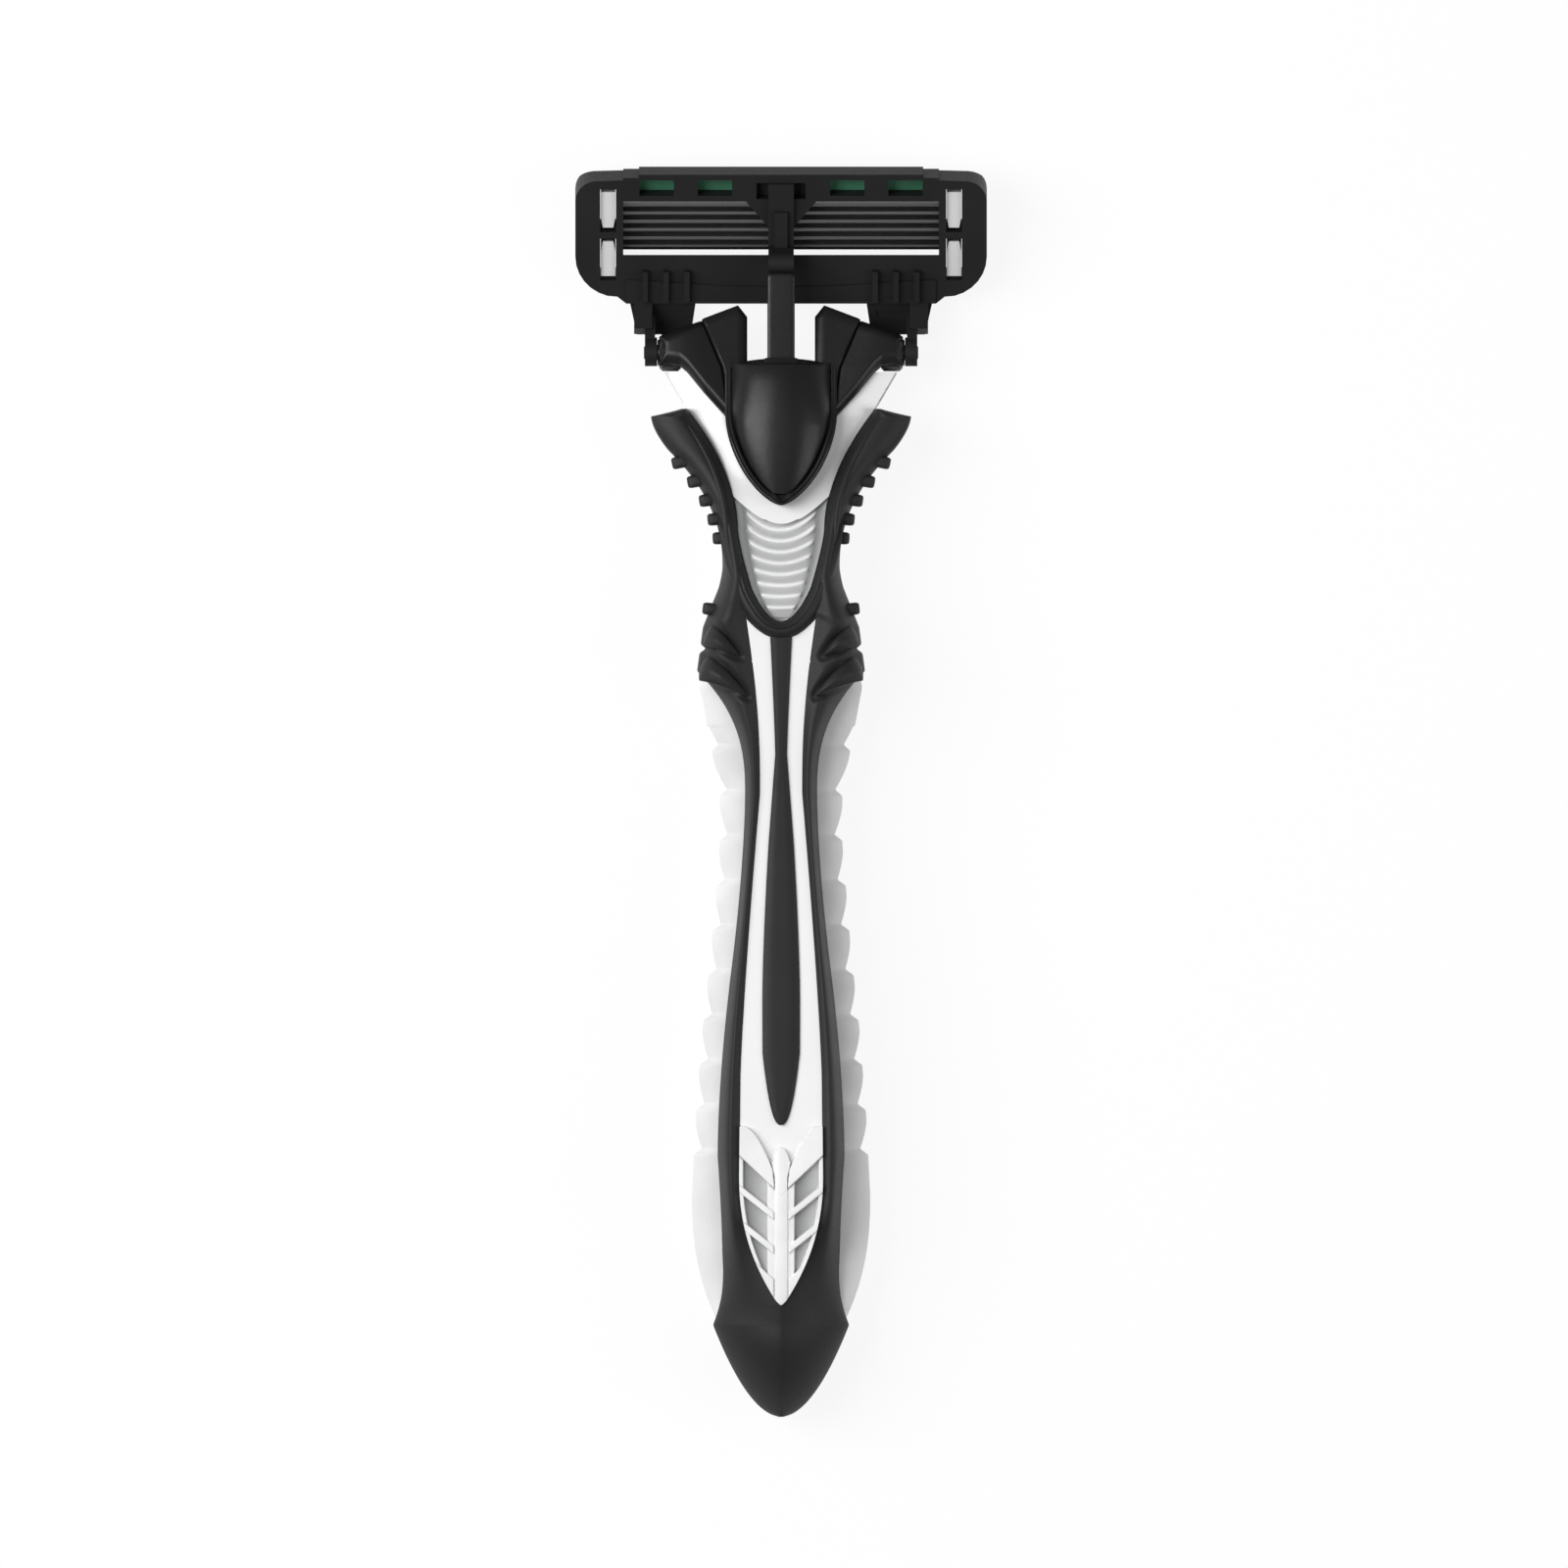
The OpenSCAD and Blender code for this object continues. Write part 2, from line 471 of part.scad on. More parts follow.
// the green bar: wide inside the cap, narrower where it comes out on the shaving face
module strip_bar(gap) {
    x1 = frame_half - 1.1 - gap;
    box(-x1, x1, cap_s + 0.35 + gap, head_height - 0.47 - gap, 1.2 + gap, strip_deep - gap);
    box(-x1, x1, cap_s + 0.35 + gap, head_height - cap_bevel - gap, -0.15 - (gap > 0 ? 0 : 1), 1.3 + gap);
}

module box(x0, x1, s0, s1, n0, n1) {
    translate([x0, s0, n0]) cube([x1 - x0, s1 - s0, n1 - n0]);
}

module twin() {
    children();
    mirror([1, 0, 0]) children();
}

// a slot for rinsing between the guard and the first blade: the guard's side of it is cut upright in
// the leaning head
fin_low = 0.9;
fin_high = guard_height - head_depth * tan(head_tilt) - 0.4;
module rinse_slot() {
    slant = tan(head_tilt);
    translate([-frame_half, 0, 0]) rotate([90, 0, 90]) linear_extrude(2 * frame_half)
        polygon([[guard_height + slant, head_depth + 1], [guard_height + 1, head_depth + 1],
            [guard_height + 1, -1],
            [guard_height - (head_depth + 1) * slant, -1]]);
}

slot_low = [guard_height - 2.8, guard_height + 1.75];
slot_high = [guard_height + 2.45, guard_height + 7.1];
clip_x = frame_half + 0.75;

module cartridge_housing() {
    color([0.1, 0.1, 0.11]) lean() {
        difference() {
            linear_extrude(head_depth) head_plan();
            box(-frame_half, frame_half, guard_height, cap_s, -1, head_depth + 1);
            for (k = [1 : 6]) blade_bar(k, skin);
            strip_bar(0);
            translate([-head_half, head_height, cap_bevel]) rotate([45, 0, 0])
                translate([0, -4, -4 - 0.01]) cube([head_width, 8, 4]);
            box(-frame_half + 0.5, frame_half - 0.5, fin_low, fin_high, -1, 1);
            rinse_slot();
            twin() {
                box(frame_half - 5.15, frame_half - 1.65, cap_s + 0.6, head_height - 0.6, 1,
                    head_depth + 1);
                box(frame_half - 11.1, frame_half - 7.6, cap_s + 0.6, head_height - 0.6, 1, head_depth + 1);
                box(spine_width / 2, spine_width / 2 + 1.2, cap_s + 0.25, head_height - 0.9,
                    head_depth - 1.2, head_depth + 1);
                box(clip_x, clip_x + clip_width, slot_low[0], slot_low[1], -1, head_depth + 1);
                box(clip_x, clip_x + clip_width, slot_high[0], slot_high[1], -1, head_depth + 1);
            }
        }
        // the guard's lower moulding, with a bowed edge across the back
        translate([0, 0, head_depth - 0.1]) linear_extrude(0.28)
            polygon([[0.3 - frame_half, 0.1], [frame_half - 0.3, 0.1], [frame_half - 0.3, guard_height / 2],
                [frame_half / 2, guard_height * 0.4], [frame_half / 4, guard_height * 0.36],
                [-frame_half / 4, guard_height * 0.36], [-frame_half / 2, guard_height * 0.4],
                [0.3 - frame_half, guard_height / 2]]);
        // spine, gussets and the nose for the plunger
        box(-spine_width / 2, spine_width / 2, guard_height - 0.8, head_height - 0.9, blade_high + 0.3,
            head_depth + 0.5);
        box(-spine_width / 4, spine_width / 4, guard_height, cap_s - 0.9, head_depth, head_depth + 1);
        box(-spine_width / 2, spine_width / 2, head_s(nose_y, nose_z) - 0.8,
            head_s(nose_y, nose_z) + nose_r,
            head_depth - 0.5, head_n(nose_y, nose_z));
        translate([-spine_width / 2, head_s(nose_y, nose_z), head_n(nose_y, nose_z)]) rotate([0, 90, 0])
            cylinder(r = nose_r, h = spine_width);
        twin() translate([0, 0, blade_high + 0.3]) linear_extrude(head_depth - blade_high - 0.3)
            polygon([[spine_width / 2 - 0.1, cap_s - 2.9], [spine_width / 2 - 0.1, cap_s + 0.1],
                [spine_width / 2 + 2.4, cap_s + 0.1]]);
        // ribs, brackets and the snap hooks round the pins
        twin() {
            for (k = [0 : 2]) box(hook_out - 4.3 + 2.13 * k - 0.27, hook_out - 4.3 + 2.13 * k + 0.27,
                0.4, 3.7, head_depth - 0.2, head_depth + 0.8);
            translate([0, 0, 1.9]) linear_extrude(1.4)
                polygon([[hook_out - 5.3, 0.5], [hook_out - 4.9, -1], [hook_out + 1.3, -1],
                    [hook_out + 1.7, 0.5]]);
            translate([0, 0, 1.6]) linear_extrude(1.7)
                polygon([[hook_out - 5.3, 0.5], [hook_out - 4.8, -1.6], [hook_out - 4.1, -1.6],
                    [hook_out - 4.6, 0.5]]);
            translate([0, 0, 2.1]) linear_extrude(1)
                polygon([[hook_out - 5.3, 0.6], [hook_out - 4.7, pivot_s + 0.6],
                    [hook_out + 0.8, pivot_s + 0.6],
                    [hook_out + 1.7, 0.6]]);
            difference() {
                union() {
                    translate([hook_in + 0.5, 0, 0]) rotate([90, 0,
                        90]) linear_extrude(hook_out + 1.1 - hook_in - 0.5)
                        polygon([[0.6, 0.9], [0.6, head_depth - 0.1], [pivot_s + 2.4, pivot_n - 0.6],
                            [pivot_s + 1.4, pivot_n - 1.7], [-1.2, 0.9]]);
                    translate([hook_in + 0.2, 0, 0]) rotate([90, 0,
                        90]) linear_extrude(hook_out - hook_in - 0.2)
                        polygon([[pivot_s + 3.2, pivot_n - 2], [pivot_s + 0.8, pivot_n + 1.2],
                            [pivot_s, pivot_n - 1.4], [pivot_s + 1.6, pivot_n - 2.2]]);
                    translate([hook_in, pivot_s, pivot_n]) rotate([0, 90, 0])
                        cylinder(r = hook_r, h = hook_out - hook_in);
                }
                translate([hook_in - 1, pivot_s, pivot_n]) rotate([0, 90, 0])
                    cylinder(r = pin_d / 2 + pin_clear, h = 6);
                translate([hook_in - 1, pivot_s, pivot_n]) rotate([-head_tilt, 0, 0])
                    translate([0, -4, -pin_d / 2 + 0.1]) cube([6, 4, pin_d - 0.2]);
            }
        }
    }
}

// a leg of the clip folded over the back, narrower towards its end
module clip_tab(x0, x1, s0, s1, way) {
    translate([0, 0, head_depth - 0.3 - clip_thick]) linear_extrude(clip_thick)
        polygon([[x0, s0], [x1, s0], [x1, s1 - way * 1.2], [x1 - 0.22, s1], [x0 + 0.22, s1],
            [x0, s1 - way * 1.2]]);
}

module clip(side) {
    color([0.78, 0.79, 0.8]) lean() mirror([side < 0 ? 1 : 0, 0, 0]) {
        x0 = clip_x + skin;
        x1 = clip_x + clip_width - skin;
        box(x0, x1, slot_low[0] + 0.4, slot_high[1] - 0.4, -clip_thick - skin, -skin);
        box(x0, x1, slot_low[0] + 0.4, slot_low[0] + 0.4 + clip_thick, -skin - 0.1, head_depth - 0.3);
        box(x0, x1, slot_high[1] - 0.4 - clip_thick, slot_high[1] - 0.4, -skin - 0.1, head_depth - 0.3);
        clip_tab(x0, x1, slot_low[0] + 0.4, slot_low[1] - 0.4, 1);
        clip_tab(x0, x1, slot_high[1] - 0.4, slot_high[0] + 0.4, -1);
    }
}
module clip_left() { clip(-1); }
module clip_right() { clip(1); }

module lubricating_strip() {
    color([0.18, 0.42, 0.3]) lean()
        strip_bar(skin);
}

module guard_strip() {
    fins = 5;
    fin = (fin_high - fin_low - 2 * skin) / (2 * fins - 1);
    low = fin_low + skin;
    comb = [for (k = [0 : fins - 1]) each [[low + 2 * k * fin, 0.4], [low + 2 * k * fin, -0.1],
        [low + (2 * k + 1) * fin, -0.1], [low + (2 * k + 1) * fin, 0.4]]];
    half = frame_half - 0.5 - skin;
    color([0.2, 0.2, 0.2]) lean() translate([-half, 0, 0]) rotate([90, 0, 90]) linear_extrude(2 * half)
        polygon(concat([[low, 1 - skin]], [for (k = [1 : len(comb) - 2]) comb[k]],
            [[fin_high - skin, 1 - skin]]));
}

module blade(k) {
    color([0.6, 0.61, 0.62]) lean() blade_bar(k, 0);
}
module blade_1() { blade(1); }
module blade_2() { blade(2); }
module blade_3() { blade(3); }
module blade_4() { blade(4); }
module blade_5() { blade(5); }
module blade_6() { blade(6); }

handle_core();
rubber_grip();
back_grip();
centre_strip();
thumb_pad();
tail_insert();
pivot_yoke();
release_button();
button_spring();
plunger();
plunger_spring();
cartridge_housing();
clip_left();
clip_right();
lubricating_strip();
guard_strip();
blade_1();
blade_2();
blade_3();
blade_4();
blade_5();
blade_6();
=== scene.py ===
"""Looks of a cartridge razor, laid flat and seen from straight above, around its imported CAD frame."""
import math
import bmesh
import bpy
import numpy as np
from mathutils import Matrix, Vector


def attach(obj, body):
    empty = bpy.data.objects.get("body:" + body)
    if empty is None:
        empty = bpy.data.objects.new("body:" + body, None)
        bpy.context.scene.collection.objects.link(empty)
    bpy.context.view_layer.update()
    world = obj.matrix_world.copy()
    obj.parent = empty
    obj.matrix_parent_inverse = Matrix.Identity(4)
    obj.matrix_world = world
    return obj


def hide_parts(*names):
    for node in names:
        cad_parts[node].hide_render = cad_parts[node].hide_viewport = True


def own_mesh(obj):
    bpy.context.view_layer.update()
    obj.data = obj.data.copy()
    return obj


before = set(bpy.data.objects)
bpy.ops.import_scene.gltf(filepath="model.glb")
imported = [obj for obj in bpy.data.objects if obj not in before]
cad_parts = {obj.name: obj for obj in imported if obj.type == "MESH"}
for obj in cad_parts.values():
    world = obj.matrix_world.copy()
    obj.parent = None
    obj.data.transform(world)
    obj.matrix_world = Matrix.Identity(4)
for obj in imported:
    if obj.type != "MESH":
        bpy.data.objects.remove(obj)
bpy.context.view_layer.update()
scene = bpy.context.scene
scene.view_settings.view_transform = "Standard"

# Photo table: the razor lies on a white sweep and is seen from straight above, head at the top.
# The photo holds 160 mm across its frame, with its centre a little right of and above the razor's own.
# A long softbox stands on the left, a weaker one on the right, and the room fills the rest.
camera = bpy.data.objects.new("camera", bpy.data.cameras.new("camera"))
scene.collection.objects.link(camera)
camera.data.type = "ORTHO"
camera.data.ortho_scale = 0.160
camera.location = (0.0003, 0.0008, 0.5)
scene.camera = camera


def white_to_camera(tree, strength):
    """A share of white light: this strong for rays from the camera, a gloss or a clear piece, else zero."""
    path = tree.nodes.new("ShaderNodeLightPath")
    seen = tree.nodes.new("ShaderNodeMath")
    seen.operation = "MAXIMUM"
    tree.links.new(path.outputs["Is Camera Ray"], seen.inputs[0])
    gloss = tree.nodes.new("ShaderNodeMath")
    gloss.operation = "MAXIMUM"
    tree.links.new(path.outputs["Is Glossy Ray"], gloss.inputs[0])
    tree.links.new(path.outputs["Is Transmission Ray"], gloss.inputs[1])
    tree.links.new(gloss.outputs[0], seen.inputs[1])
    share = tree.nodes.new("ShaderNodeMath")
    share.operation = "MULTIPLY"
    share.inputs[1].default_value = strength
    tree.links.new(seen.outputs[0], share.inputs[0])
    return share.outputs[0]


SWEEP_HALF, SWEEP_Z, SWEEP_WHITE, ROOM_LEVEL = 2, -5e-5, 0.88, 0.27
sweep = bpy.data.meshes.new("sweep")
corners = [(-1, -1), (1, -1), (1, 1), (-1, 1)]
sweep.from_pydata([(SWEEP_HALF * x, SWEEP_HALF * y, SWEEP_Z) for x, y in corners], [], [(0, 1, 2, 3)])
sweep_object = bpy.data.objects.new("sweep", sweep)
scene.collection.objects.link(sweep_object)
paper = bpy.data.materials.new("sweep_paper")
paper.use_nodes = True
paper_tree = paper.node_tree
paper_lit = paper_tree.nodes["Principled BSDF"]
paper_lit.inputs["Base Color"].default_value = (0.92, 0.92, 0.92, 1)
paper_lit.inputs["Roughness"].default_value = 0.9
paper_glow = paper_tree.nodes.new("ShaderNodeEmission")
paper_glow.inputs["Strength"].default_value = 1.0
paper_mix = paper_tree.nodes.new("ShaderNodeMixShader")
paper_tree.links.new(white_to_camera(paper_tree, SWEEP_WHITE), paper_mix.inputs[0])
paper_tree.links.new(paper_lit.outputs[0], paper_mix.inputs[1])
paper_tree.links.new(paper_glow.outputs[0], paper_mix.inputs[2])
paper_tree.links.new(paper_mix.outputs[0], paper_tree.nodes["Material Output"].inputs[0])
sweep.materials.append(paper)

room = bpy.data.worlds.new("room")
scene.world = room
room.use_nodes = True
room_light = room.node_tree.nodes["Background"]
room_light.inputs["Color"].default_value = (1, 1, 1, 1)
room_light.inputs["Strength"].default_value = ROOM_LEVEL
room_white = room.node_tree.nodes.new("ShaderNodeBackground")
room_white.inputs["Color"].default_value = (1, 1, 1, 1)
room_mix = room.node_tree.nodes.new("ShaderNodeMixShader")
room_path = room.node_tree.nodes.new("ShaderNodeLightPath")
room.node_tree.links.new(room_path.outputs["Is Camera Ray"], room_mix.inputs[0])
room.node_tree.links.new(room_light.outputs[0], room_mix.inputs[1])
room.node_tree.links.new(room_white.outputs[0], room_mix.inputs[2])
room.node_tree.links.new(room_mix.outputs[0], room.node_tree.nodes["World Output"].inputs[0])

for lamp_name, spot, width, height, watts in (
    ("left_softbox", (-0.34, 0.10, 0.42), 0.30, 0.50, 3.1),
    ("right_softbox", (0.45, -0.05, 0.35), 0.25, 0.45, 1.0),
):
    lamp = bpy.data.objects.new(lamp_name, bpy.data.lights.new(lamp_name, "AREA"))
    lamp.data.shape = "RECTANGLE"
    lamp.data.size, lamp.data.size_y, lamp.data.energy = width, height, watts
    lamp.location = spot
    lamp.rotation_euler = (-Vector(spot)).to_track_quat("-Z", "Y").to_euler()
    scene.collection.objects.link(lamp)

# White core: one moulding of glossy ABS that runs the whole length inside the rubber.
# Its front shows as the two stripes and the white V, its back as the neck under the thumb rests.
# Everything else is moulded or snapped onto it. Places along it are millimetres behind the hinge.
PIVOT_Y, PIVOT_Z, TAIL_Y = 44.8117, 5.0, -63.788
SKIN = 0.05


def at(back):
    """The place that lies this far behind the hinge axis."""
    return PIVOT_Y - back


def along(y, knots, soft=0.7):
    """A value led from knot to knot by power curves, then averaged over a short reach to lose its kinks.
    A knot is a place, a value and the power of the way to the next; a minus bends it the other way."""
    y = np.asarray(y, float)[..., None] + np.linspace(-soft, soft, 9)
    value = np.full(y.shape, float(knots[0][1]))
    for (y0, v0, bend), (y1, v1, _) in zip(knots, knots[1:]):
        t = np.clip((y - y0) / (y1 - y0), 0, 1)
        shape = t ** bend if bend > 0 else 1 - (1 - t) ** -bend
        value = np.where(y > y0, v0 + (v1 - v0) * shape, value)
    weight = 1 + np.cos(np.linspace(-math.pi, math.pi, 9) * 0.9)
    return (value * weight).sum(-1) / weight.sum()


SEAM, BELLY, WAIST, THUMB = 6.5, 13.0, 11.5, 12.5
BUTT_Y, LEAF_TIP, BELLY_Y, WAIST_Y, CHIN_Y = at(99.2), at(97.2), at(82), at(45), at(15.6)
BRIDGE_LOW, BRIDGE_TOP, BRIDGE_HALF = at(29.2), at(27.4), 3.6
SHELF_0, NECK_SLOPE = PIVOT_Z + 0.8, math.radians(14)


def shelf_z(y):
    """The sloping seat of the yoke: it falls towards the hinge."""
    return SHELF_0 + (PIVOT_Y - y) * math.tan(NECK_SLOPE)


def face_z(y):
    """Height of the white front: arched at the belly, low at the waist, up at the thumb, then the seat."""
    handle = along(y, [(TAIL_Y, SEAM - 1, -2.2), (BUTT_Y, BELLY - 1.6, -2), (BELLY_Y, BELLY, 1.8),
                       (WAIST_Y, WAIST, 1.6), (at(28), THUMB, 1)])
    thumb = THUMB + (shelf_z(CHIN_Y) - THUMB) * np.clip((y - at(28)) / 12.4, 0, 1) ** 1.3
    return np.where(y > CHIN_Y, shelf_z(y), np.where(y > at(28), thumb, handle))


def seam_z(y):
    """Height of the line where front pieces and back grip meet."""
    return along(y, [(TAIL_Y, SEAM - 1.6, -2), (BUTT_Y, SEAM, 1), (WAIST_Y, SEAM + 0.5, 1),
                     (PIVOT_Y, SEAM - 0.6, 1)])


def back_z(y):
    """Height of the underside: it touches the table at the belly."""
    return along(y, [(BUTT_Y, 1.6, -2), (BELLY_Y, 0.02, 1.6), (WAIST_Y, 2.4, 1.4), (PIVOT_Y, 2.8, 1)])


def rim_in(y):
    """Half width of the opening that the rubber leaves for the white front."""
    low = along(y, [(LEAF_TIP, 0.25, -2.2), (at(84), 4.3, 1), (at(74), 4.2, 1.25), (WAIST_Y, 2.2, 2.6),
                    (BRIDGE_LOW, BRIDGE_HALF, 1)], 0.4)
    high = along(y, [(BRIDGE_TOP, 0.0, 0.5), (at(24), 3.1, -1.3), (at(18), 4.5, 1.9),
                     (at(5), 10.2, 1)], 0.04)
    return np.where(y < at(28.4), low, high)


def tip_round(y):
    """Share of the opening's width near its rounded lower tip, as in a quarter of an ellipse."""
    return np.sqrt(np.clip(1 - (1 - np.clip((y - LEAF_TIP) / 0.6, 0, 1)) ** 2, 0.002, 1))


def smile(y):
    """How much further forward the ends of a cross row lie than its middle, in the pad and the white V."""
    return along(y, [(BRIDGE_TOP, 0, 1.6), (at(17.5), 2.85, 1), (CHIN_Y, 2.85, 1), (at(11.9), 0, 1)], 0.3)


def bowed(x, y):
    """Where the points of a cross row lie once the bridge under the pad is bowed like the bottom of a U."""
    rise = along(y, [(at(37), 0, 1), (BRIDGE_LOW, 2.2, 1), (at(25.2), 0, 1)], 0.5)
    return y + rise * np.clip((x / BRIDGE_HALF) ** 2, 0, 1) * np.clip((7.6 - np.abs(x)) / 4, 0, 1)


def core_half(y):
    """Half width of the white front, which fills the rubber's opening and widens into the fork."""
    return np.where(y < at(6), rim_in(y) - SKIN, along(y, [(at(6), 9.35, 1), (at(2), 11.7, 1)], 0.2))


def slab(name, layers, lumps=()):
    """A closed solid from pairs of upper and lower point grids; a mask tells which cells are there.
    Lumps are further closed surfaces, points and faces, that belong to the same moulding."""
    points, quads, start = [], [], 0
    for up, low, keep in layers:
        n, m = up.shape[:2]
        keep = np.ones((n - 1, m - 1), bool) if keep is None else keep
        index = start + np.arange(n * m).reshape(n, m)
        a, b, c, d = index[:-1, :-1], index[1:, :-1], index[1:, 1:], index[:-1, 1:]
        under = n * m
        ring = np.pad(keep, 1)
        quads += [np.stack([a, d, c, b], -1)[keep], np.stack([a, b, c, d], -1)[keep] + under]
        sides = ((a, d, ring[:-2, 1:-1]), (c, b, ring[2:, 1:-1]),
                 (b, a, ring[1:-1, :-2]), (d, c, ring[1:-1, 2:]))
        for p, q, neighbour in sides:
            edge = keep & ~neighbour
            quads.append(np.stack([p, p + under, q + under, q], -1)[edge])
        points += [up.reshape(-1, 3), low.reshape(-1, 3)]
        start += 2 * under
    for lump_points, lump_quads in lumps:
        points.append(lump_points)
        quads.append(lump_quads + start)
        start += len(lump_points)
    return piece(name, np.concatenate(points), np.concatenate(quads))


def piece(name, points, quads, sharp=38):
    """Puts points in millimetres and their faces into an object, smooth but for its sharp edges."""
    mesh = bpy.data.meshes.new(name)
    mesh.from_pydata(np.asarray(points, float) * 0.001, [], np.asarray(quads).tolist())
    tidy = bmesh.new()
    tidy.from_mesh(mesh)
    bmesh.ops.remove_doubles(tidy, verts=tidy.verts, dist=1e-7)
    bmesh.ops.dissolve_degenerate(tidy, edges=tidy.edges, dist=1e-8)
    tidy.to_mesh(mesh)
    tidy.free()
    mesh.shade_smooth()
    mesh.set_sharp_from_angle(angle=math.radians(sharp))
    thing = bpy.data.objects.new(name, mesh)
    scene.collection.objects.link(thing)
    return thing


def grid(*columns):
    """Stacks x, y and z arrays of one shape into a grid of points."""
    return np.stack(np.broadcast_arrays(*columns), -1)


def moulded(name, colour, rough, grain, depth, mottle=0.06, **fixed):
    """Moulded plastic or rubber: an even colour with a faint cloud, and a fine grain in gloss and relief.
    Further named values are set on the shader's sockets as they are."""
    material = bpy.data.materials.new(name)
    material.use_nodes = True
    tree = material.node_tree
    shader = tree.nodes["Principled BSDF"]
    shader.inputs["Subsurface Radius"].default_value = (1, 1, 1)
    for socket, value in fixed.items():
        shader.inputs[socket.replace("_", " ")].default_value = value
    place = tree.nodes.new("ShaderNodeTexCoord")
    cloud = tree.nodes.new("ShaderNodeTexNoise")
    cloud.inputs["Scale"].default_value = 160
    cloud.inputs["Detail"].default_value = 3
    speck = tree.nodes.new("ShaderNodeTexNoise")
    speck.inputs["Scale"].default_value = grain
    speck.inputs["Detail"].default_value = 4
    tint = tree.nodes.new("ShaderNodeValToRGB")
    tint.color_ramp.elements[0].position, tint.color_ramp.elements[1].position = 0.3, 0.7
    tint.color_ramp.elements[0].color = (*[v * (1 - mottle) for v in colour], 1)
    tint.color_ramp.elements[1].color = (*[min(1, v * (1 + mottle)) for v in colour], 1)
    gloss = tree.nodes.new("ShaderNodeMapRange")
    gloss.inputs["To Min"].default_value, gloss.inputs["To Max"].default_value = rough - 0.06, rough + 0.06
    relief = tree.nodes.new("ShaderNodeBump")
    relief.inputs["Strength"].default_value = 0.5
    relief.inputs["Distance"].default_value = depth
    for texture in (cloud, speck):
        tree.links.new(place.outputs["Object"], texture.inputs["Vector"])
    tree.links.new(cloud.outputs["Fac"], tint.inputs["Fac"])
    tree.links.new(tint.outputs["Color"], shader.inputs["Base Color"])
    tree.links.new(speck.outputs["Fac"], gloss.inputs["Value"])
    tree.links.new(gloss.outputs["Result"], shader.inputs["Roughness"])
    tree.links.new(speck.outputs["Fac"], relief.inputs["Height"])
    tree.links.new(relief.outputs["Normal"], shader.inputs["Normal"])
    return material


FORK_Y, NECK_Y, SLOT_END = at(2.0), at(31.4), at(11.81)
BRIDGE_SINK, PAD_SINK, SLOT_HALF, SLOT_FLOOR = 1.2, 1.0, 1.6, 7.3
SLOT_SHARE, SLOT_COLS, SLOT_INSIDE = 0.4, slice(14, 27), slice(15, 26)
core_rows = np.concatenate([np.linspace(at(96.6), at(29.22), 160), [BRIDGE_LOW, at(27.3)],
                            np.linspace(at(27.28), at(17.5), 60), np.linspace(at(17.48), CHIN_Y, 16),
                            np.linspace(at(15.0), at(11.85), 20),
                            np.linspace(at(11.8), FORK_Y, 40)])[:, None]
under_bridge = (core_rows >= BRIDGE_LOW) & (core_rows < at(27.29))
under_pad = (core_rows > at(27.29)) & (core_rows < at(17.49))
core_sink = np.where(under_bridge, BRIDGE_SINK, np.where(under_pad, PAD_SINK, 0))
core_cols = np.concatenate([np.linspace(-1, -0.42, 14), [-SLOT_SHARE],
                            np.linspace(-SLOT_SHARE, SLOT_SHARE, 11),
                            [SLOT_SHARE], np.linspace(0.42, 1, 14)])[None, :]
core_y = core_rows + smile(core_rows) * core_cols ** 2
core_x = core_cols * core_half(core_y)
core_y = np.where(core_rows < BRIDGE_TOP, bowed(core_x, core_rows), core_y)
slot = np.minimum(SLOT_HALF, SLOT_SHARE * core_half(core_rows + smile(core_rows) * 0.16))
core_x[:, SLOT_COLS] = slot * core_cols[:, SLOT_COLS] / SLOT_SHARE
covered = np.interp(core_y, [29.2, 30, 31, 32.5, 34, 36, 38.3, 40.6, 42.8],
                    [0, 1.6, 2.7, 3.8, 4.6, 5.3, 5.7, 7.8, 9.6])
bare = np.clip((np.abs(core_x) - covered) / np.maximum(core_half(core_y) - covered, 0.5), 0, 1)
crown = along(core_y, [(at(15.5), 0, 1), (at(11), 0.6, 1), (at(6), 1.0, 1), (FORK_Y, 0.85, 1)])
core_up = face_z(core_y) - core_sink - crown * bare ** 1.2
slot_up = core_up[:, SLOT_INSIDE]
core_up[:, SLOT_INSIDE] = np.where(core_rows > SLOT_END, np.minimum(slot_up, SLOT_FLOOR), slot_up)
core_low = seam_z(core_y) + np.where(core_rows > NECK_Y, -0.4, SKIN)
neck_rows = np.linspace(NECK_Y, FORK_Y, 80)[:, None]
neck_cols = np.sin(np.linspace(-1, 1, 41) * math.pi / 2)[None, :]
neck_half = along(neck_rows, [(NECK_Y, 7.1, -2), (at(21.8), 5.2, 1.8), (at(5.6), 9.8, 1),
                              (FORK_Y, 11.9, 1)], 0.3)
neck_x = neck_cols * neck_half
neck_seam = seam_z(neck_rows) - along(neck_rows, [(at(5.6), 0, 1), (at(4.6), 0.75, 1)], 0.1)
neck_edge = neck_seam - 0.9
neck_low = neck_edge - (neck_edge - back_z(neck_rows)) * (1 - np.abs(neck_cols) ** 2.4) ** 0.55
core = slab("white_core", [(grid(core_x, core_y, core_up), grid(core_x, core_y, core_low), None),
                           (grid(neck_x, neck_rows, neck_seam), grid(neck_x, neck_rows, neck_low), None)])
white_abs = moulded("white_abs", (0.83, 0.83, 0.835), 0.3, 2600, 0.000012, 0.012, Coat_Weight=0.15)
core.data.materials.append(white_abs)
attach(core, "handle")
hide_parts("handle_core")

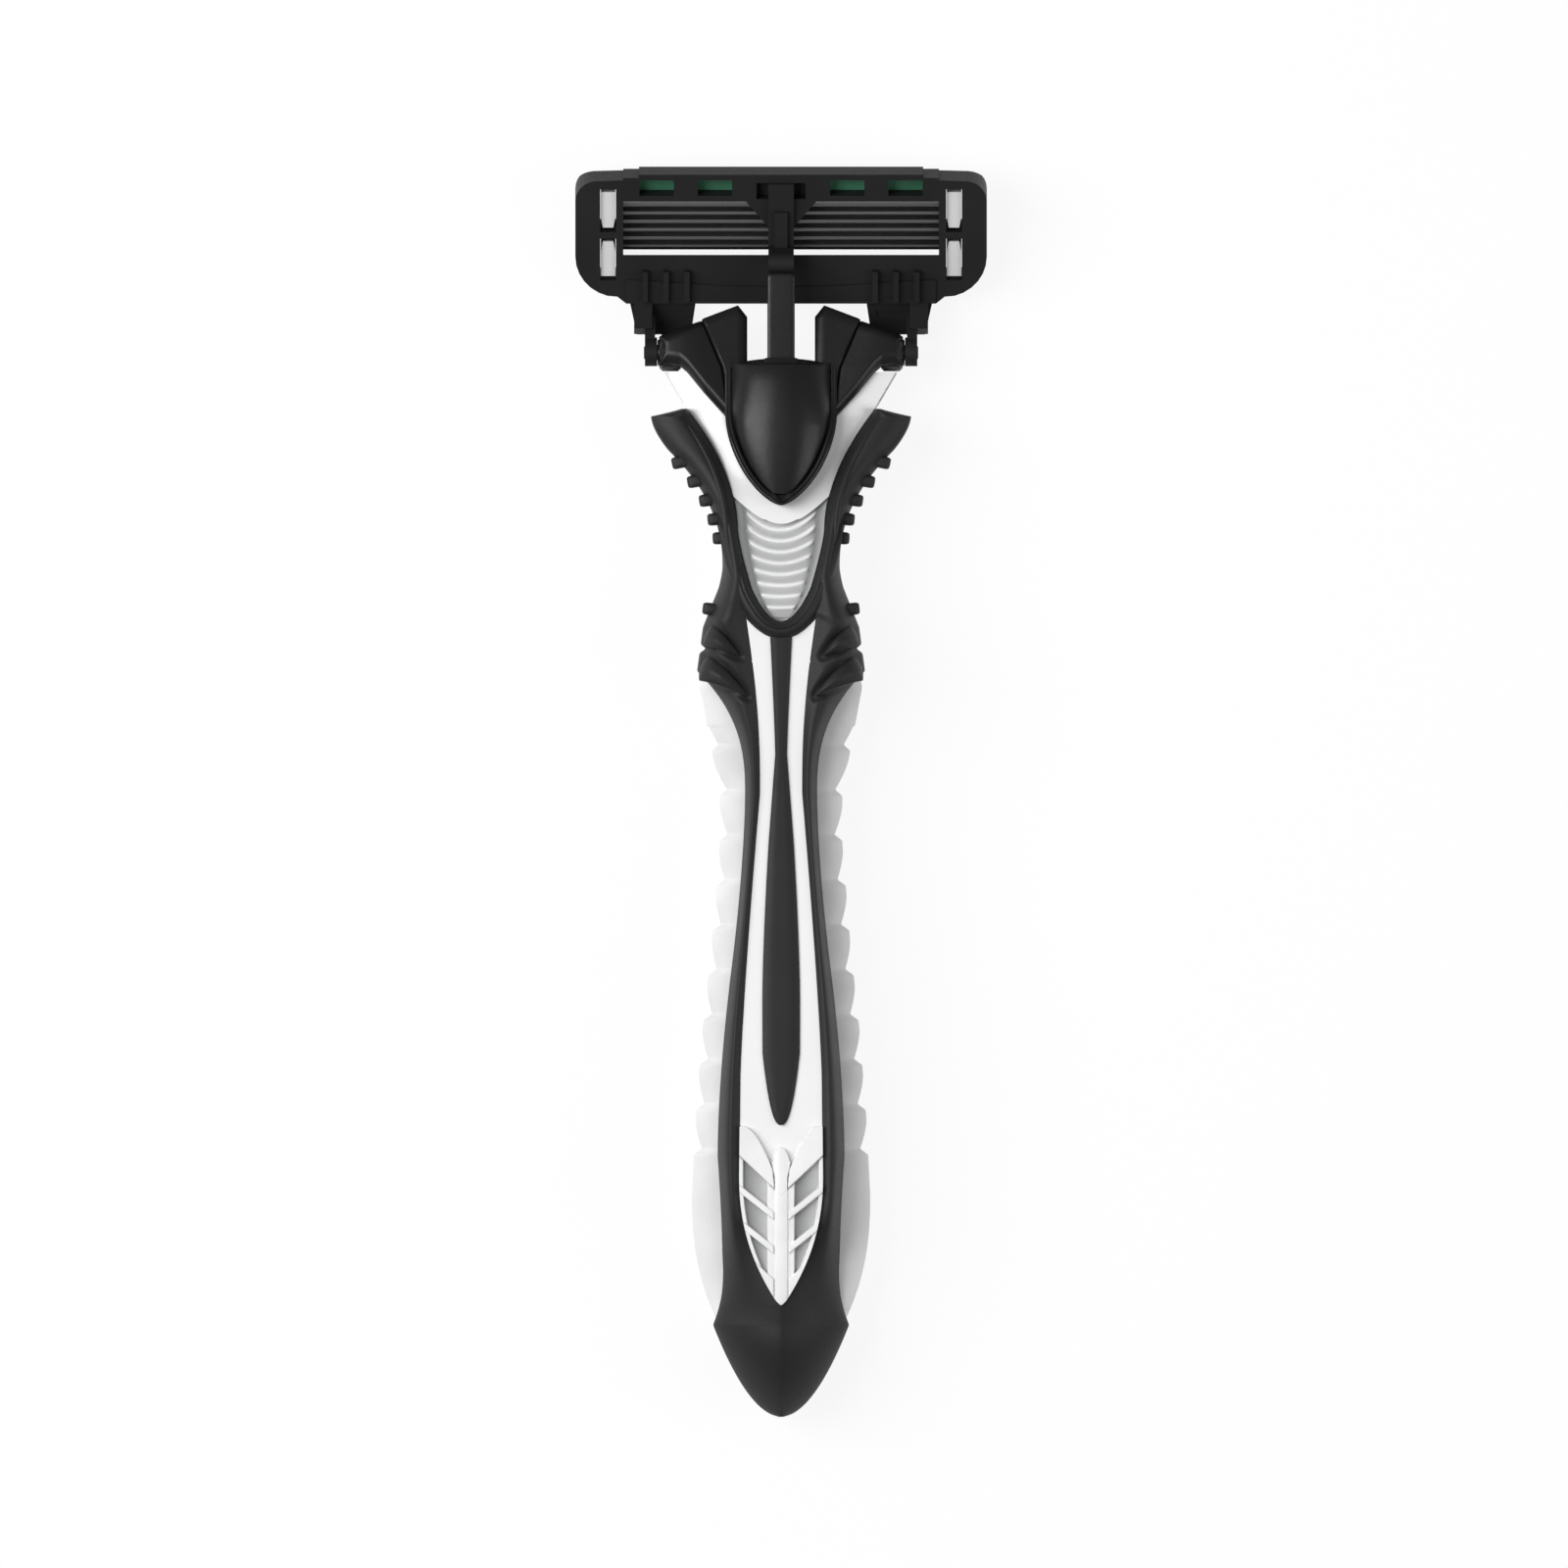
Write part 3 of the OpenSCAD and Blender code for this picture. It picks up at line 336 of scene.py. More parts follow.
# Rubber grip: soft black TPE moulded round the front of the core in one shot.
# A rim runs down both sides to an arrow tail; above the bridge it spreads into two thumb-rest arms.
# A rounded bead frames the pad, cleats stand out of the arms' edges, and two claws lie on each cheek.
RIM_RISE, ARM_HALF, ARM_Y = 0.35, 13.1, at(6.5)
CLEATS = (11.1, 13.05, 15.0, 16.95, 18.9, 26.2)
CLAWS = (((7.75, 16.1), (6.4, 15.6), (4.26, 13.8), 1.22), ((8.25, 12.75), (6.3, 12.1), (3.43, 9.7), 1.42))
CLAW_RISE, MOAT_DEPTH, MOAT_WIDTH = 1.05, 0.42, 0.8
BEAD_WIDTH, CORD_RADIUS = 1.8, 0.3


def rim_out(y):
    """Half width of the rubber seen from the front."""
    return along(y, [(TAIL_Y, 0.0, 0.53), (BUTT_Y, 6.95, -2.2), (at(93), 5.8, 1.6), (BELLY_Y, 6.3, 1.7),
                     (at(63), 4.9, -1.6), (WAIST_Y, 3.5, 2.6), (at(32.5), 8.4, 1), (at(28), 7.8, 1),
                     (at(24), 6.2, -1.5), (at(21.8), 5.8, 2.2), (at(10), 11.3, -1.6),
                     (ARM_Y, ARM_HALF, 1), (PIVOT_Y, ARM_HALF, 1)], 0.25)


def rim_top(x, y, inner, wide):
    """Height of the rubber's front: it rises from the opening to a ridge and rolls off to the outer edge.
    Towards the tail it turns into one dome across the whole width."""
    x = np.abs(x)
    u = np.clip((x - inner) / (wide - inner), 0, 1)
    ridge = along(y, [(at(60), 0.35, 1), (at(30), 0.6, 1), (at(12), 1.0, 1), (at(6), 1.2, 1)], 1)
    rise = np.clip((x - inner) / np.minimum(0.42 * (wide - inner), 1.7), 0, 1)
    body = face_z(y) + RIM_RISE - seam_z(y)
    roll = face_z(y) + 0.12 + ridge * np.sin(rise * math.pi / 2) ** 1.2
    roll = roll - 0.5 * body * np.clip((u - 0.4) / 0.6, 0, 1) ** 2.2
    dome = seam_z(y) + np.maximum(body * np.clip(1 - (x / wide) ** 1.5, 0, 1) ** 0.65, 0.12)
    share = along(y, [(at(98), 0, 1), (at(88), 1, 1)], 1.5)
    return dome + (roll - dome) * share


def superlump(middle, axes, radii, power):
    """A closed rounded block: a sphere's two angles, their cosines and sines raised to a low power."""
    lat = np.linspace(-math.pi / 2, math.pi / 2, 13)[:, None]
    lon = np.linspace(0, 2 * math.pi, 25)[:-1][None, :]
    bulge = lambda v: np.sign(v) * np.abs(v) ** power
    local = np.stack([bulge(np.cos(lat)) * bulge(np.cos(lon)) * radii[0],
                      bulge(np.cos(lat)) * bulge(np.sin(lon)) * radii[1],
                      bulge(np.sin(lat)) * np.ones_like(lon) * radii[2]], -1)
    return tube(np.asarray(middle) + local @ np.asarray(axes, float))


def tube(rings):
    """Points and faces of a surface made of closed rings in a row; its first and last rings are filled."""
    n, m = rings.shape[:2]
    index = np.arange(n * m).reshape(n, m)
    nxt = np.roll(index, -1, 1)
    quads = np.stack([index[:-1], nxt[:-1], nxt[1:], index[1:]], -1).reshape(-1, 4)
    ends = (index[0][::-1], index[-1])
    caps = [np.stack([row[0] + 0 * row[1:-1], row[1:-1], row[2:], row[2:]], -1) for row in ends]
    return rings.reshape(-1, 3), np.concatenate([quads, *caps])


tail_rows = TAIL_Y + (BUTT_Y - TAIL_Y) * np.linspace(0.004, 1, 60) ** 1.6
rim_rows = np.concatenate([tail_rows, np.linspace(at(99.15), at(97.22), 12),
                           LEAF_TIP + 0.6 * np.linspace(0, 1, 12) ** 1.8,
                           np.linspace(at(96.5), at(36.4), 125), np.linspace(at(36.3), at(29.25), 90),
                           np.linspace(BRIDGE_LOW, at(27.42), 14),
                           BRIDGE_TOP + 3 * np.linspace(0, 1, 60) ** 1.7,
                           np.linspace(at(24.35), at(6.55), 150),
                           np.linspace(ARM_Y, at(5.72), 14)])[:, None]
in_tail = rim_rows < at(97.21)
bridge = (rim_rows > at(29.21)) & (rim_rows < at(27.41))
closed = in_tail | bridge
wide = rim_out(rim_rows) - 0.5 * np.exp(-((rim_rows - at(30.2)) / 0.3) ** 2)
wide = np.maximum(wide, 0.1)
opening = np.maximum(rim_in(rim_rows), 0.12) * tip_round(rim_rows)
inner = np.where(in_tail, np.minimum(0.3 * wide, 0.25), opening)
inner = np.where(np.abs(rim_rows - at(97.22)) < 0.001, 0.02, inner)
inner = np.where(bridge, BRIDGE_HALF + (0.12 - BRIDGE_HALF) * ((rim_rows - BRIDGE_LOW) / 1.8) ** 2, inner)
arm_end = inner + 0.3 + (ARM_HALF - 0.3 - inner) * (at(5.7) - rim_rows) / 0.8
wide = np.where(rim_rows > ARM_Y, arm_end, wide)
u = ((1 - np.cos(np.linspace(0, math.pi, 33))) / 2)[None, :]
rail_x = inner + (wide - inner) * u
rail_y = bowed(rail_x, rim_rows)
cheek = np.interp(rim_rows, [at(29.21), BRIDGE_LOW, at(22)], [0, BRIDGE_HALF, 3.4])
cheek = np.maximum(inner, cheek * (rim_rows < at(22)))
rail_z = rim_top(rail_x, rim_rows, cheek, wide)
claws = []
for start, bend, tip, girth in CLAWS:
    t = np.linspace(0, 1, 40)[:, None]
    line = np.array(start) * (1 - t) ** 2 + 2 * np.array(bend) * t * (1 - t) + np.array(tip) * t ** 2
    way = np.gradient(line, axis=0)
    way /= np.linalg.norm(way, axis=1)[:, None]
    swell = np.minimum(t / 0.1, 1) ** 0.5 * (1 - t ** 1.3) ** 0.85 * girth
    claws.append((line, way, swell, girth))
    away = np.hypot(rail_x[..., None] - line[:, 0], rail_y[..., None] - line[:, 1])
    clear = np.min(away - swell[:, 0], -1)
    moat = 0.5 + 0.5 * np.cos(math.pi * np.clip(clear / MOAT_WIDTH, 0, 1))
    rail_z = rail_z - MOAT_DEPTH * moat * np.clip((rail_x - inner) / MOAT_WIDTH, 0, 1)
v = np.linspace(0, 1, 7)[None, 1:]
tail_t = np.clip((rim_rows - TAIL_Y) / (BUTT_Y - TAIL_Y), 0, 1)
tail_deep = (seam_z(rim_rows) - 0.3 - back_z(rim_rows)) * (1 - (1 - tail_t) ** 2)


def keel(x):
    """How far the underside lies off the seam: a round keel under the tail, a hair above it elsewhere."""
    belly = -0.3 - tail_deep * np.clip(1 - (np.abs(x) / wide) ** 2.2, 0, 1) ** 0.6
    return np.where(rim_rows < at(99.19), belly, SKIN)


side_x = wide + 0.18 * np.sin(math.pi * v) * along(rim_rows, [(at(96.5), 0, 1), (at(92), 1, 1)])
side_z = rail_z[:, -1:] + (seam_z(rim_rows) + keel(wide) - rail_z[:, -1:]) * v
half_x, half_y = np.hstack([rail_x, side_x]), np.hstack([rail_y, rim_rows + 0 * side_x])
half_z = np.hstack([rail_z, side_z])
under_x = np.hstack([rail_x, wide + 0 * side_x])
under_z = seam_z(rim_rows) + keel(under_x)
mid_x = inner * np.linspace(-1, 1, 11)[None, 1:-1]
mid_y = bowed(mid_x, rim_rows)
mid_z = np.where(bridge, face_z(rim_rows) + 0.12, rim_top(mid_x, rim_rows, inner, wide))
mid_low = np.where(bridge, face_z(rim_rows) - 1.2 + SKIN, seam_z(rim_rows) + keel(mid_x))
rim_up = grid(np.hstack([-half_x[:, ::-1], mid_x, half_x]), np.hstack([half_y[:, ::-1], mid_y, half_y]),
              np.hstack([half_z[:, ::-1], mid_z, half_z]))
rim_low = grid(np.hstack([-under_x[:, ::-1], mid_x, under_x]), np.hstack([half_y[:, ::-1], mid_y, half_y]),
               np.hstack([under_z[:, ::-1], mid_low, under_z]))
rim_keep = np.ones((len(rim_rows) - 1, rim_up.shape[1] - 1), bool)
gap = half_x.shape[1] - 1
rim_keep[:, gap:gap + mid_x.shape[1] + 1] = closed[:-1] & closed[1:]
lumps = []
for back in CLEATS:
    edge_x = float(rim_out(at(back)))
    lean = 0.3 * math.atan2(float(rim_out(at(back - 0.3)) - rim_out(at(back + 0.3))), 0.6)
    level = float(face_z(at(back)) + seam_z(at(back))) / 2 - 0.1
    for side in (-1, 1):
        axes = [(side * math.cos(lean), -math.sin(lean), 0),
                (math.sin(lean), side * math.cos(lean), 0), (0, 0, 1)]
        lumps.append(superlump((side * (edge_x - 0.25), at(back), level), axes, (1.2, 0.64, 1.5), 0.36))
bead_y = BRIDGE_TOP + 10.5 * np.linspace(0, 1, 70) ** 2
bead_left, bead_right = (np.stack([side * rim_in(bead_y), bead_y], -1) for side in (-1, 1))
bead_line = np.concatenate([bead_left[:0:-1], bead_right])
bead_way = np.gradient(bead_line, axis=0)
bead_way /= np.linalg.norm(bead_way, axis=1)[:, None]
bead_out = np.stack([bead_way[:, 1], -bead_way[:, 0]], -1)[:, None, :]
bead_t = np.linspace(0, 1, 22)
bead_high = 0.85 * np.sin(math.pi * bead_t) ** 0.6 - 0.14 * np.exp(-((bead_t - 0.42) / 0.05) ** 2)
bead_high = np.concatenate([bead_high, [-0.8, -0.8]])
bead_t = np.concatenate([bead_t, [0.95, 0.05]])
bead_fade = np.clip((at(17.2) - bead_line[:, 1]) / 5, 0, 1)[:, None] ** 0.7
bead_xy = bead_line[:, None, :] + bead_out * (BEAD_WIDTH * bead_t[None, :, None] + 0.02)
bead_z = face_z(bead_line[:, 1])[:, None] + 0.02 + np.where(bead_high > 0, bead_high * bead_fade, bead_high)
lumps.append(tube(np.concatenate([bead_xy, bead_z[..., None]], -1)[:, ::-1]))
cord_y = np.linspace(at(19.6), at(7.4), 70)[:, None]
cord_x = rim_in(cord_y) + 1.1
cord_turn = np.linspace(0, 2 * math.pi, 13)[None, :-1]
cord_r = CORD_RADIUS * np.clip(np.minimum(at(7.2) - cord_y, cord_y - at(19.8)) / 2.5, 0, 1) ** 0.5
cord_z = rim_top(cord_x, cord_y, rim_in(cord_y), rim_out(cord_y)) + cord_r * np.sin(cord_turn)
cord = grid(cord_x + cord_r * np.cos(cord_turn), cord_y, cord_z)
lumps += [tube(cord[:, ::-1]), tube(cord * np.array([-1, 1, 1]))]
for line, way, swell, girth in claws:
    turn = np.linspace(0, 2 * math.pi, 33)[None, :-1]
    across, up = np.cos(turn), np.sin(turn)
    claw_x = line[:, :1] - way[:, 1:] * swell * across
    claw_y = line[:, 1:] + way[:, :1] * swell * across
    ground = rim_top(line[:, :1], line[:, 1:], rim_in(line[:, 1:]), rim_out(line[:, 1:])) - 0.1
    roof = np.where(up > 0, np.abs(up) ** 0.35 * (0.62 + 0.38 * (1 - np.abs(across))), up)
    claw_z = ground + CLAW_RISE * roof * (swell / girth) ** 0.6
    lumps.append(tube(grid(claw_x, claw_y, claw_z)))
    lumps.append(tube(grid(-claw_x, claw_y, claw_z)[:, ::-1]))
grip = slab("rubber_rim", [(rim_up, rim_low, rim_keep)], lumps)
black_rubber = moulded("black_tpe", (0.012, 0.012, 0.0127), 0.55, 3200, 0.00003, 0.08,
                       Specular_IOR_Level=0.3)
grip.data.materials.append(black_rubber)
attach(grip, "handle")
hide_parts("rubber_grip")

# Centre strip: a tongue of the same black rubber inlaid between the white stripes.
# It hangs from the bridge, narrows at the waist and swells to a leaf before it ends.
strip_rows = np.linspace(at(78.8), at(28.9), 240)[:, None]
strip_u = np.linspace(-1, 1, 25)[None, :]
strip_half = along(strip_rows, [(at(78.85), 0.0, 0.42), (at(71.5), 1.9, -2), (at(66), 1.92, 1.5),
                                (at(50), 1.28, 1), (at(41), 0.6, 1.2), (BRIDGE_LOW, 1.1, 1)], 0.04)
strip_top = face_z(strip_rows) + SKIN + RIM_RISE * (1 - np.abs(strip_u) ** 4 * 0.7)
strip_x = strip_u * strip_half
strip = slab("centre_tongue", [(grid(strip_x, strip_rows, strip_top),
                                grid(strip_x, strip_rows, face_z(strip_rows) + SKIN), None)])
strip.data.materials.append(black_rubber)
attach(strip, "handle")
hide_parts("centre_strip")

# Thumb pad: a translucent soft pad with eight smile-shaped ribs, moulded into the U of the black rim.
# It lies half a millimetre under the white V. Its colour is painted lighter along each rib crest as a
# painted highlight, and darker in a band near the rib ends as painted shade.
RIB_START, RIB_PITCH, RIB_WIDTH, RIB_RISE, RIB_END = 26.74, 1.14, 0.2, 0.42, 0.8
PAD_FACE, PAD_BACK = 0.62, 0.95
pad_rows = np.linspace(at(27.05), at(17.52), 170)[:, None]
pad_u = np.linspace(-1, 1, 61)[None, :]
pad_y = pad_rows + smile(pad_rows) * pad_u ** 2
pad_x = pad_u * (core_half(pad_y) - SKIN)


def rib(rows, u):
    """Relief of the ribs: eight bell-shaped crests one pitch apart that fade out before the pad's edge."""
    crest = sum(np.exp(-((rows - (RIB_START - RIB_PITCH * k)) / RIB_WIDTH) ** 2) for k in range(8))
    return crest * np.clip((RIB_END - np.abs(u)) / 0.12, 0, 1) ** 0.7


pad_top = face_z(pad_y) - PAD_FACE + RIB_RISE * rib(pad_rows, pad_u) + 0.15 * np.abs(pad_u) ** 6
pad_low = face_z(pad_y) - PAD_BACK
pad = slab("ribbed_pad", [(grid(pad_x, pad_y, pad_top), grid(pad_x, pad_y, pad_low), None)])


def tinted(thing, name, share, low, high, rough, **fixed):
    """A translucent moulding whose colour goes from low to high by a share kept at each mesh point."""
    mesh = thing.data
    kept = mesh.attributes.new("share", "FLOAT", "POINT")
    kept.data.foreach_set("value", np.asarray(share, np.float32))
    material = moulded(name, high, rough, 2600, 0.00002, **fixed)
    tree = material.node_tree
    spot = tree.nodes.new("ShaderNodeAttribute")
    spot.attribute_name = "share"
    mix = tree.nodes.new("ShaderNodeMix")
    mix.data_type = "RGBA"
    mix.inputs["A"].default_value = (*low, 1)
    cloud = tree.nodes["Principled BSDF"].inputs["Base Color"].links[0].from_socket
    tree.links.new(spot.outputs["Fac"], mix.inputs["Factor"])
    tree.links.new(cloud, mix.inputs["B"])
    tree.links.new(mix.outputs["Result"], tree.nodes["Principled BSDF"].inputs["Base Color"])
    mesh.materials.append(material)


pad_at = np.array([v.co for v in pad.data.vertices]) * 1000
pad_side = np.abs(pad_at[:, 0]) / np.maximum(core_half(pad_at[:, 1]) - SKIN, 0.1)
pad_row = pad_at[:, 1] - smile(pad_at[:, 1] - 1.2 * pad_side ** 2) * pad_side ** 2
# Painted light in the pad's colour: a painted highlight along each rib crest, and painted shade in a band
# near the rib ends.
pad_painted_end_shade = 0.25 * np.exp(-((pad_side - 0.83) / 0.1) ** 2)
pad_tone_and_painted_light = np.clip(1.25 * rib(pad_row, pad_side) + 0.3 - pad_painted_end_shade, 0, 1)
tinted(pad, "clear_tpe", pad_tone_and_painted_light, (0.20, 0.205, 0.205), (0.92, 0.92, 0.92), 0.35,
       Subsurface_Weight=0.25, Subsurface_Scale=0.001)
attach(pad, "handle")
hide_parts("thumb_pad")

# Tail insert: a leaf of translucent plastic set in the lower end of the white core.
# A round-ended spine runs down its middle, with two lobes above, two pairs of chevron ribs and a
# pointed tip. The panes between the ribs are thin and look grey, and each pane is painted darker
# towards its left side as painted shade.
LEAF_TOP, PANE_TOP, RIB_STARTS, POINT_START = -34.1, -40.5, (-43.3, -46.75), -49.75
SPINE_HALF, SPINE_TOP, FRAME_WIDTH, WALL_HALF = 0.68, -36.3, 0.42, 1.38
leaf_rows = np.linspace(LEAF_TOP, at(97.17), 260)[:, None]
leaf_u = np.linspace(-1, 1, 141)[None, :]
leaf_half = np.maximum(rim_in(leaf_rows) * tip_round(leaf_rows) - 0.02, 0.03)


def step(distance, soft=0.08):
    """Zero before an edge and one behind it, with a short rounded slope between."""
    t = np.clip(distance / soft * 0.5 + 0.5, 0, 1)
    return t * t * (3 - 2 * t)


def leaf_masks(x, y, half):
    """Shares of pane and of raised relief at each point, by its distances to the lobes, ribs and spine."""
    side = np.abs(x)
    out = side - 0.73
    pane_top = PANE_TOP + 0.945 * out
    lobe_top = LEAF_TOP - 4.3 * np.clip((3.75 - side) / 2.85, 0, 1) ** 1.7
    lobe = step(lobe_top - y) * step(y - pane_top) * step(side - 0.88 + 0.1 * np.clip(-y - 38, 0, 2))
    ribs = sum(step(0.42 - np.abs(y - (start + 0.8 * out))) for start in RIB_STARTS)
    ribs = ribs + step(POINT_START + 0.95 * out - y)
    spine_top = SPINE_TOP - 1.4 * np.clip(side / 0.9, 0, 1) ** 2.4
    spine = step(SPINE_HALF + 0.3 * step(y + 38.7, 0.9) - side) * step(spine_top - y)
    below = step(pane_top - y)
    frame_edge = step(side - (half - FRAME_WIDTH)) * below
    wall = step(WALL_HALF - side) * below
    ribs = np.clip(ribs, 0, 1) * step(side - 0.74)
    pane = below * (1 - np.clip(ribs, 0, 1)) * (1 - frame_edge) * (1 - wall) * step(half - 0.9)
    ridge = 0.47 * spine + 0.1 * spine * (1 - (side / SPINE_HALF) ** 2).clip(0)
    relief = np.maximum.reduce([0.57 * lobe, 0.57 * ribs, ridge, 0.34 * frame_edge,
                                0.3 * wall * step(half - 0.9)])
    present = np.clip(np.maximum.reduce([lobe, spine, below]), 0, 1)
    return pane, np.where(present > 0.02, relief * present, 0) + 0.1 * present - 0.1 * (1 - present)


leaf_x = leaf_u * leaf_half
leaf_relief = leaf_masks(leaf_x, leaf_rows, leaf_half)[1]
insert = slab("leaf_insert", [(grid(leaf_x, leaf_rows, face_z(leaf_rows) + leaf_relief),
                               grid(leaf_x, leaf_rows, face_z(leaf_rows) - 0.3), None)])
leaf_at = np.array([v.co for v in insert.data.vertices]) * 1000
pane_half = rim_in(leaf_at[:, 1])
# Painted shade: each pane is painted darker at its left side and lighter towards its right, the same way on
# both halves of the leaf.
pane_x = np.where(leaf_at[:, 0] < 0, leaf_at[:, 0] + pane_half - 0.4, leaf_at[:, 0] - 1.4)
pane_painted_light = 0.55 * np.clip(pane_x / np.maximum(pane_half - 1.8, 0.5), 0, 1) ** 1.3
leaf_share = 1 - leaf_masks(leaf_at[:, 0], leaf_at[:, 1], pane_half)[0] * (1.0 - pane_painted_light)
tinted(insert, "clear_styrene", leaf_share, (0.22, 0.225, 0.225), (0.84, 0.84, 0.84), 0.2,
       Subsurface_Weight=0.15, Subsurface_Scale=0.001)
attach(insert, "handle")
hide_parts("tail_insert")

# Back grip: a soft white shell that wraps the back of the handle and shows on both sides of the black rim.
# Its edge is scalloped like fish scales so that the fingers find a hold.
SCALE_START, SCALE_PITCH, SCALE_DEPTH, BACK_EDGE = at(40.0), 4.58, 0.8, 0.85
back_rows = np.linspace(at(99.1), at(31.6), 420)[:, None]
back_u = np.sin(np.linspace(-1, 1, 81) * math.pi / 2)[None, :]
scale_t = (SCALE_START - back_rows) / SCALE_PITCH
scale_f = scale_t - np.floor(scale_t)
notch_in, notch_out = np.clip(1 - scale_f / 0.14, 0, 1), np.clip((scale_f - 0.35) / 0.65, 0, 1) ** 1.5
scales = SCALE_DEPTH * np.maximum(notch_in, notch_out)
scales = scales * ((scale_t > -0.4) & (scale_t < 9.2))
back_half = along(back_rows, [(BUTT_Y, 6.3, -2.4), (at(86), 9.1, 1), (at(78.7), 8.75, 1),
                              (at(69.5), 8.05, 1), (at(60), 7.05, 1), (at(50), 6.25, 1), (WAIST_Y, 6.25, 1),
                              (at(34), 8.3, -2), (at(30), 7.5, 1)], 0.5) - scales
back_x = back_u * back_half
under_rim = rim_out(back_rows) - 0.4
shoulder = np.clip((np.abs(back_x) - under_rim) / np.maximum(back_half - under_rim, 0.3), 0, 1)
back_up = seam_z(back_rows) - SKIN - 0.75 * shoulder ** 2
edge_z = seam_z(back_rows) - BACK_EDGE
back_low = edge_z - (edge_z - back_z(back_rows)) * np.clip(1 - np.abs(back_u) ** 2.4, 0, 1) ** 0.55
back = slab("scalloped_back", [(grid(back_x, back_rows, back_up), grid(back_x, back_rows, back_low), None)])
back.data.materials.append(moulded("white_tpe", (0.74, 0.74, 0.74), 0.5, 2600, 0.00002,
                                   Subsurface_Weight=0.1, Subsurface_Scale=0.001))
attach(back, "handle")
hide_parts("back_grip")

# Pivot frame: one moulding of black nylon seated on the sloping neck of the white core.
# A leaf-shaped bezel holds the button, and two wings reach out to the knuckles and pins that
# carry the cartridge.
SLOPE_SIN, SLOPE_COS = math.sin(NECK_SLOPE), math.cos(NECK_SLOPE)
BEZEL_TIP, BEZEL_WIDE, FRONT_Y, FLOOR = CHIN_Y, at(6.45), 43.0, 1.4
BEZEL_HALF, BUTTON_HALF, BUTTON_GAP = 5.7, 5.0, 0.35
WING_IN, WING_OUT, WING_SPLIT = 3.45, 12.45, 0.4
SPRING_X, POST_Y = 3.05, at(4.3)


def on_shelf(x, y, high):
    """Points that lie this high above the sloping seat, square to it."""
    return grid(x, y + high * SLOPE_SIN, shelf_z(y) + high * SLOPE_COS)


def leaf_edge(y, half):
    """Half width of a leaf: full near the hinge, closing to a point at the bezel's tip."""
    t = np.clip((BEZEL_WIDE - y) / (BEZEL_WIDE - BEZEL_TIP), 0, 1)
    return half * (1 - t ** 1.7) ** 0.65


def lathe(line, middle, way):
    """Rings of a turned piece: radii at places along an axis through the middle point."""
    turn = np.linspace(0, 2 * math.pi, 33)[None, :-1]
    place, radius = np.array(line)[:, :1], np.array(line)[:, 1:]
    one, two = (radius * np.cos(turn), radius * np.sin(turn))
    return tube(np.asarray(middle) + (grid(place, one, two) if way == "x" else grid(two, place, one)))


seat_rows = np.concatenate([BEZEL_TIP + (BEZEL_WIDE - BEZEL_TIP) * np.linspace(0.003, 1, 70) ** 1.5,
                            np.linspace(at(6.4), FRONT_Y, 14)])[:, None]
seat_out = leaf_edge(seat_rows, BEZEL_HALF)
button_room = leaf_edge(seat_rows - BUTTON_GAP, BUTTON_HALF) + 0.12
seat_in = np.maximum(np.where(seat_rows > BEZEL_TIP + 0.75, button_room, 0), 0.45 * seat_out)
seat_slot = np.minimum(1.6, 0.3 * seat_out)
rim_r = np.linspace(0, 1, 12)[None, :]
lip_x = seat_in + (seat_out - seat_in) * rim_r
lip_n = 1.0 - 0.35 * rim_r ** 6 - 0.15 * (1 - rim_r) ** 6 - 0.15 * np.exp(-((rim_r - 0.45) / 0.1) ** 2)
lip_n = FLOOR + lip_n * along(seat_rows, [(at(9.5), 1, 1), (at(6.2), 0.12, 1)], 0.9)
deck_x = seat_slot + (seat_in - 0.02 - seat_slot) * np.linspace(0, 1, 5)[None, :]
seat_half = np.hstack([deck_x, lip_x])
seat_n = np.hstack([FLOOR + 0 * deck_x, lip_n + 0 * lip_x])
seat_x = np.hstack([-seat_half[:, ::-1], seat_half])
seat_n = np.hstack([seat_n[:, ::-1], seat_n])
upright = np.hstack([0 * deck_x, rim_r + 0 * lip_x])
upright = np.hstack([upright[:, ::-1], upright])
seat_up = on_shelf(seat_x, seat_rows - upright * seat_n * SLOPE_SIN, seat_n)
seat_keep = np.ones((len(seat_rows) - 1, seat_x.shape[1] - 1), bool)
seat_keep[seat_rows[1:, 0] > at(11.8), seat_half.shape[1] - 1] = False
wing_c = np.concatenate([np.linspace(0, WING_SPLIT, 40), np.linspace(WING_SPLIT, 1, 55)])[None, :]
past_seam = np.arange(95)[None, :] >= 40
wing_t = np.linspace(0, 1, 50)[:, None]
wing_x = WING_IN + (WING_OUT - WING_IN) * wing_c + 0 * wing_t
for _ in range(8):
    wing_top = np.interp(wing_x, [WING_IN, 4.4, 9.4, WING_OUT], [48.2, 49.4, 47.5, 46.35])
    wing_foot = np.interp(wing_x, [WING_IN, 5.6, 5.75, 7.8, 9.6, 10.3, 11.6, WING_OUT],
                          [38.0, 38.0, 38.35, 40.6, 42.8, 43.4, 43.6, 43.35])
    wing_y = wing_foot + (wing_top - wing_foot) * wing_t
    wing_seam = np.interp(wing_y, [37, 40.8, 43.1, 45.4, 47.85, 50], [5.2, 5.6, 6.0, 7.0, 8.03, 8.9])
    wing_outer = WING_OUT + (wing_seam - WING_OUT) * (1 - wing_c) / (1 - WING_SPLIT)
    wing_x = np.where(past_seam, wing_outer, WING_IN + (wing_seam - WING_IN) * wing_c / WING_SPLIT)
edge = np.minimum(np.minimum(wing_t, 1 - wing_t) * (wing_top - wing_foot) * 0.9,
                  np.minimum(wing_x - WING_IN, WING_OUT - wing_x))
beyond = wing_x - wing_seam
wing_swell = 1.1 + 0.28 * np.sin(np.clip(beyond / (WING_OUT - wing_seam), 0, 1) * math.pi)
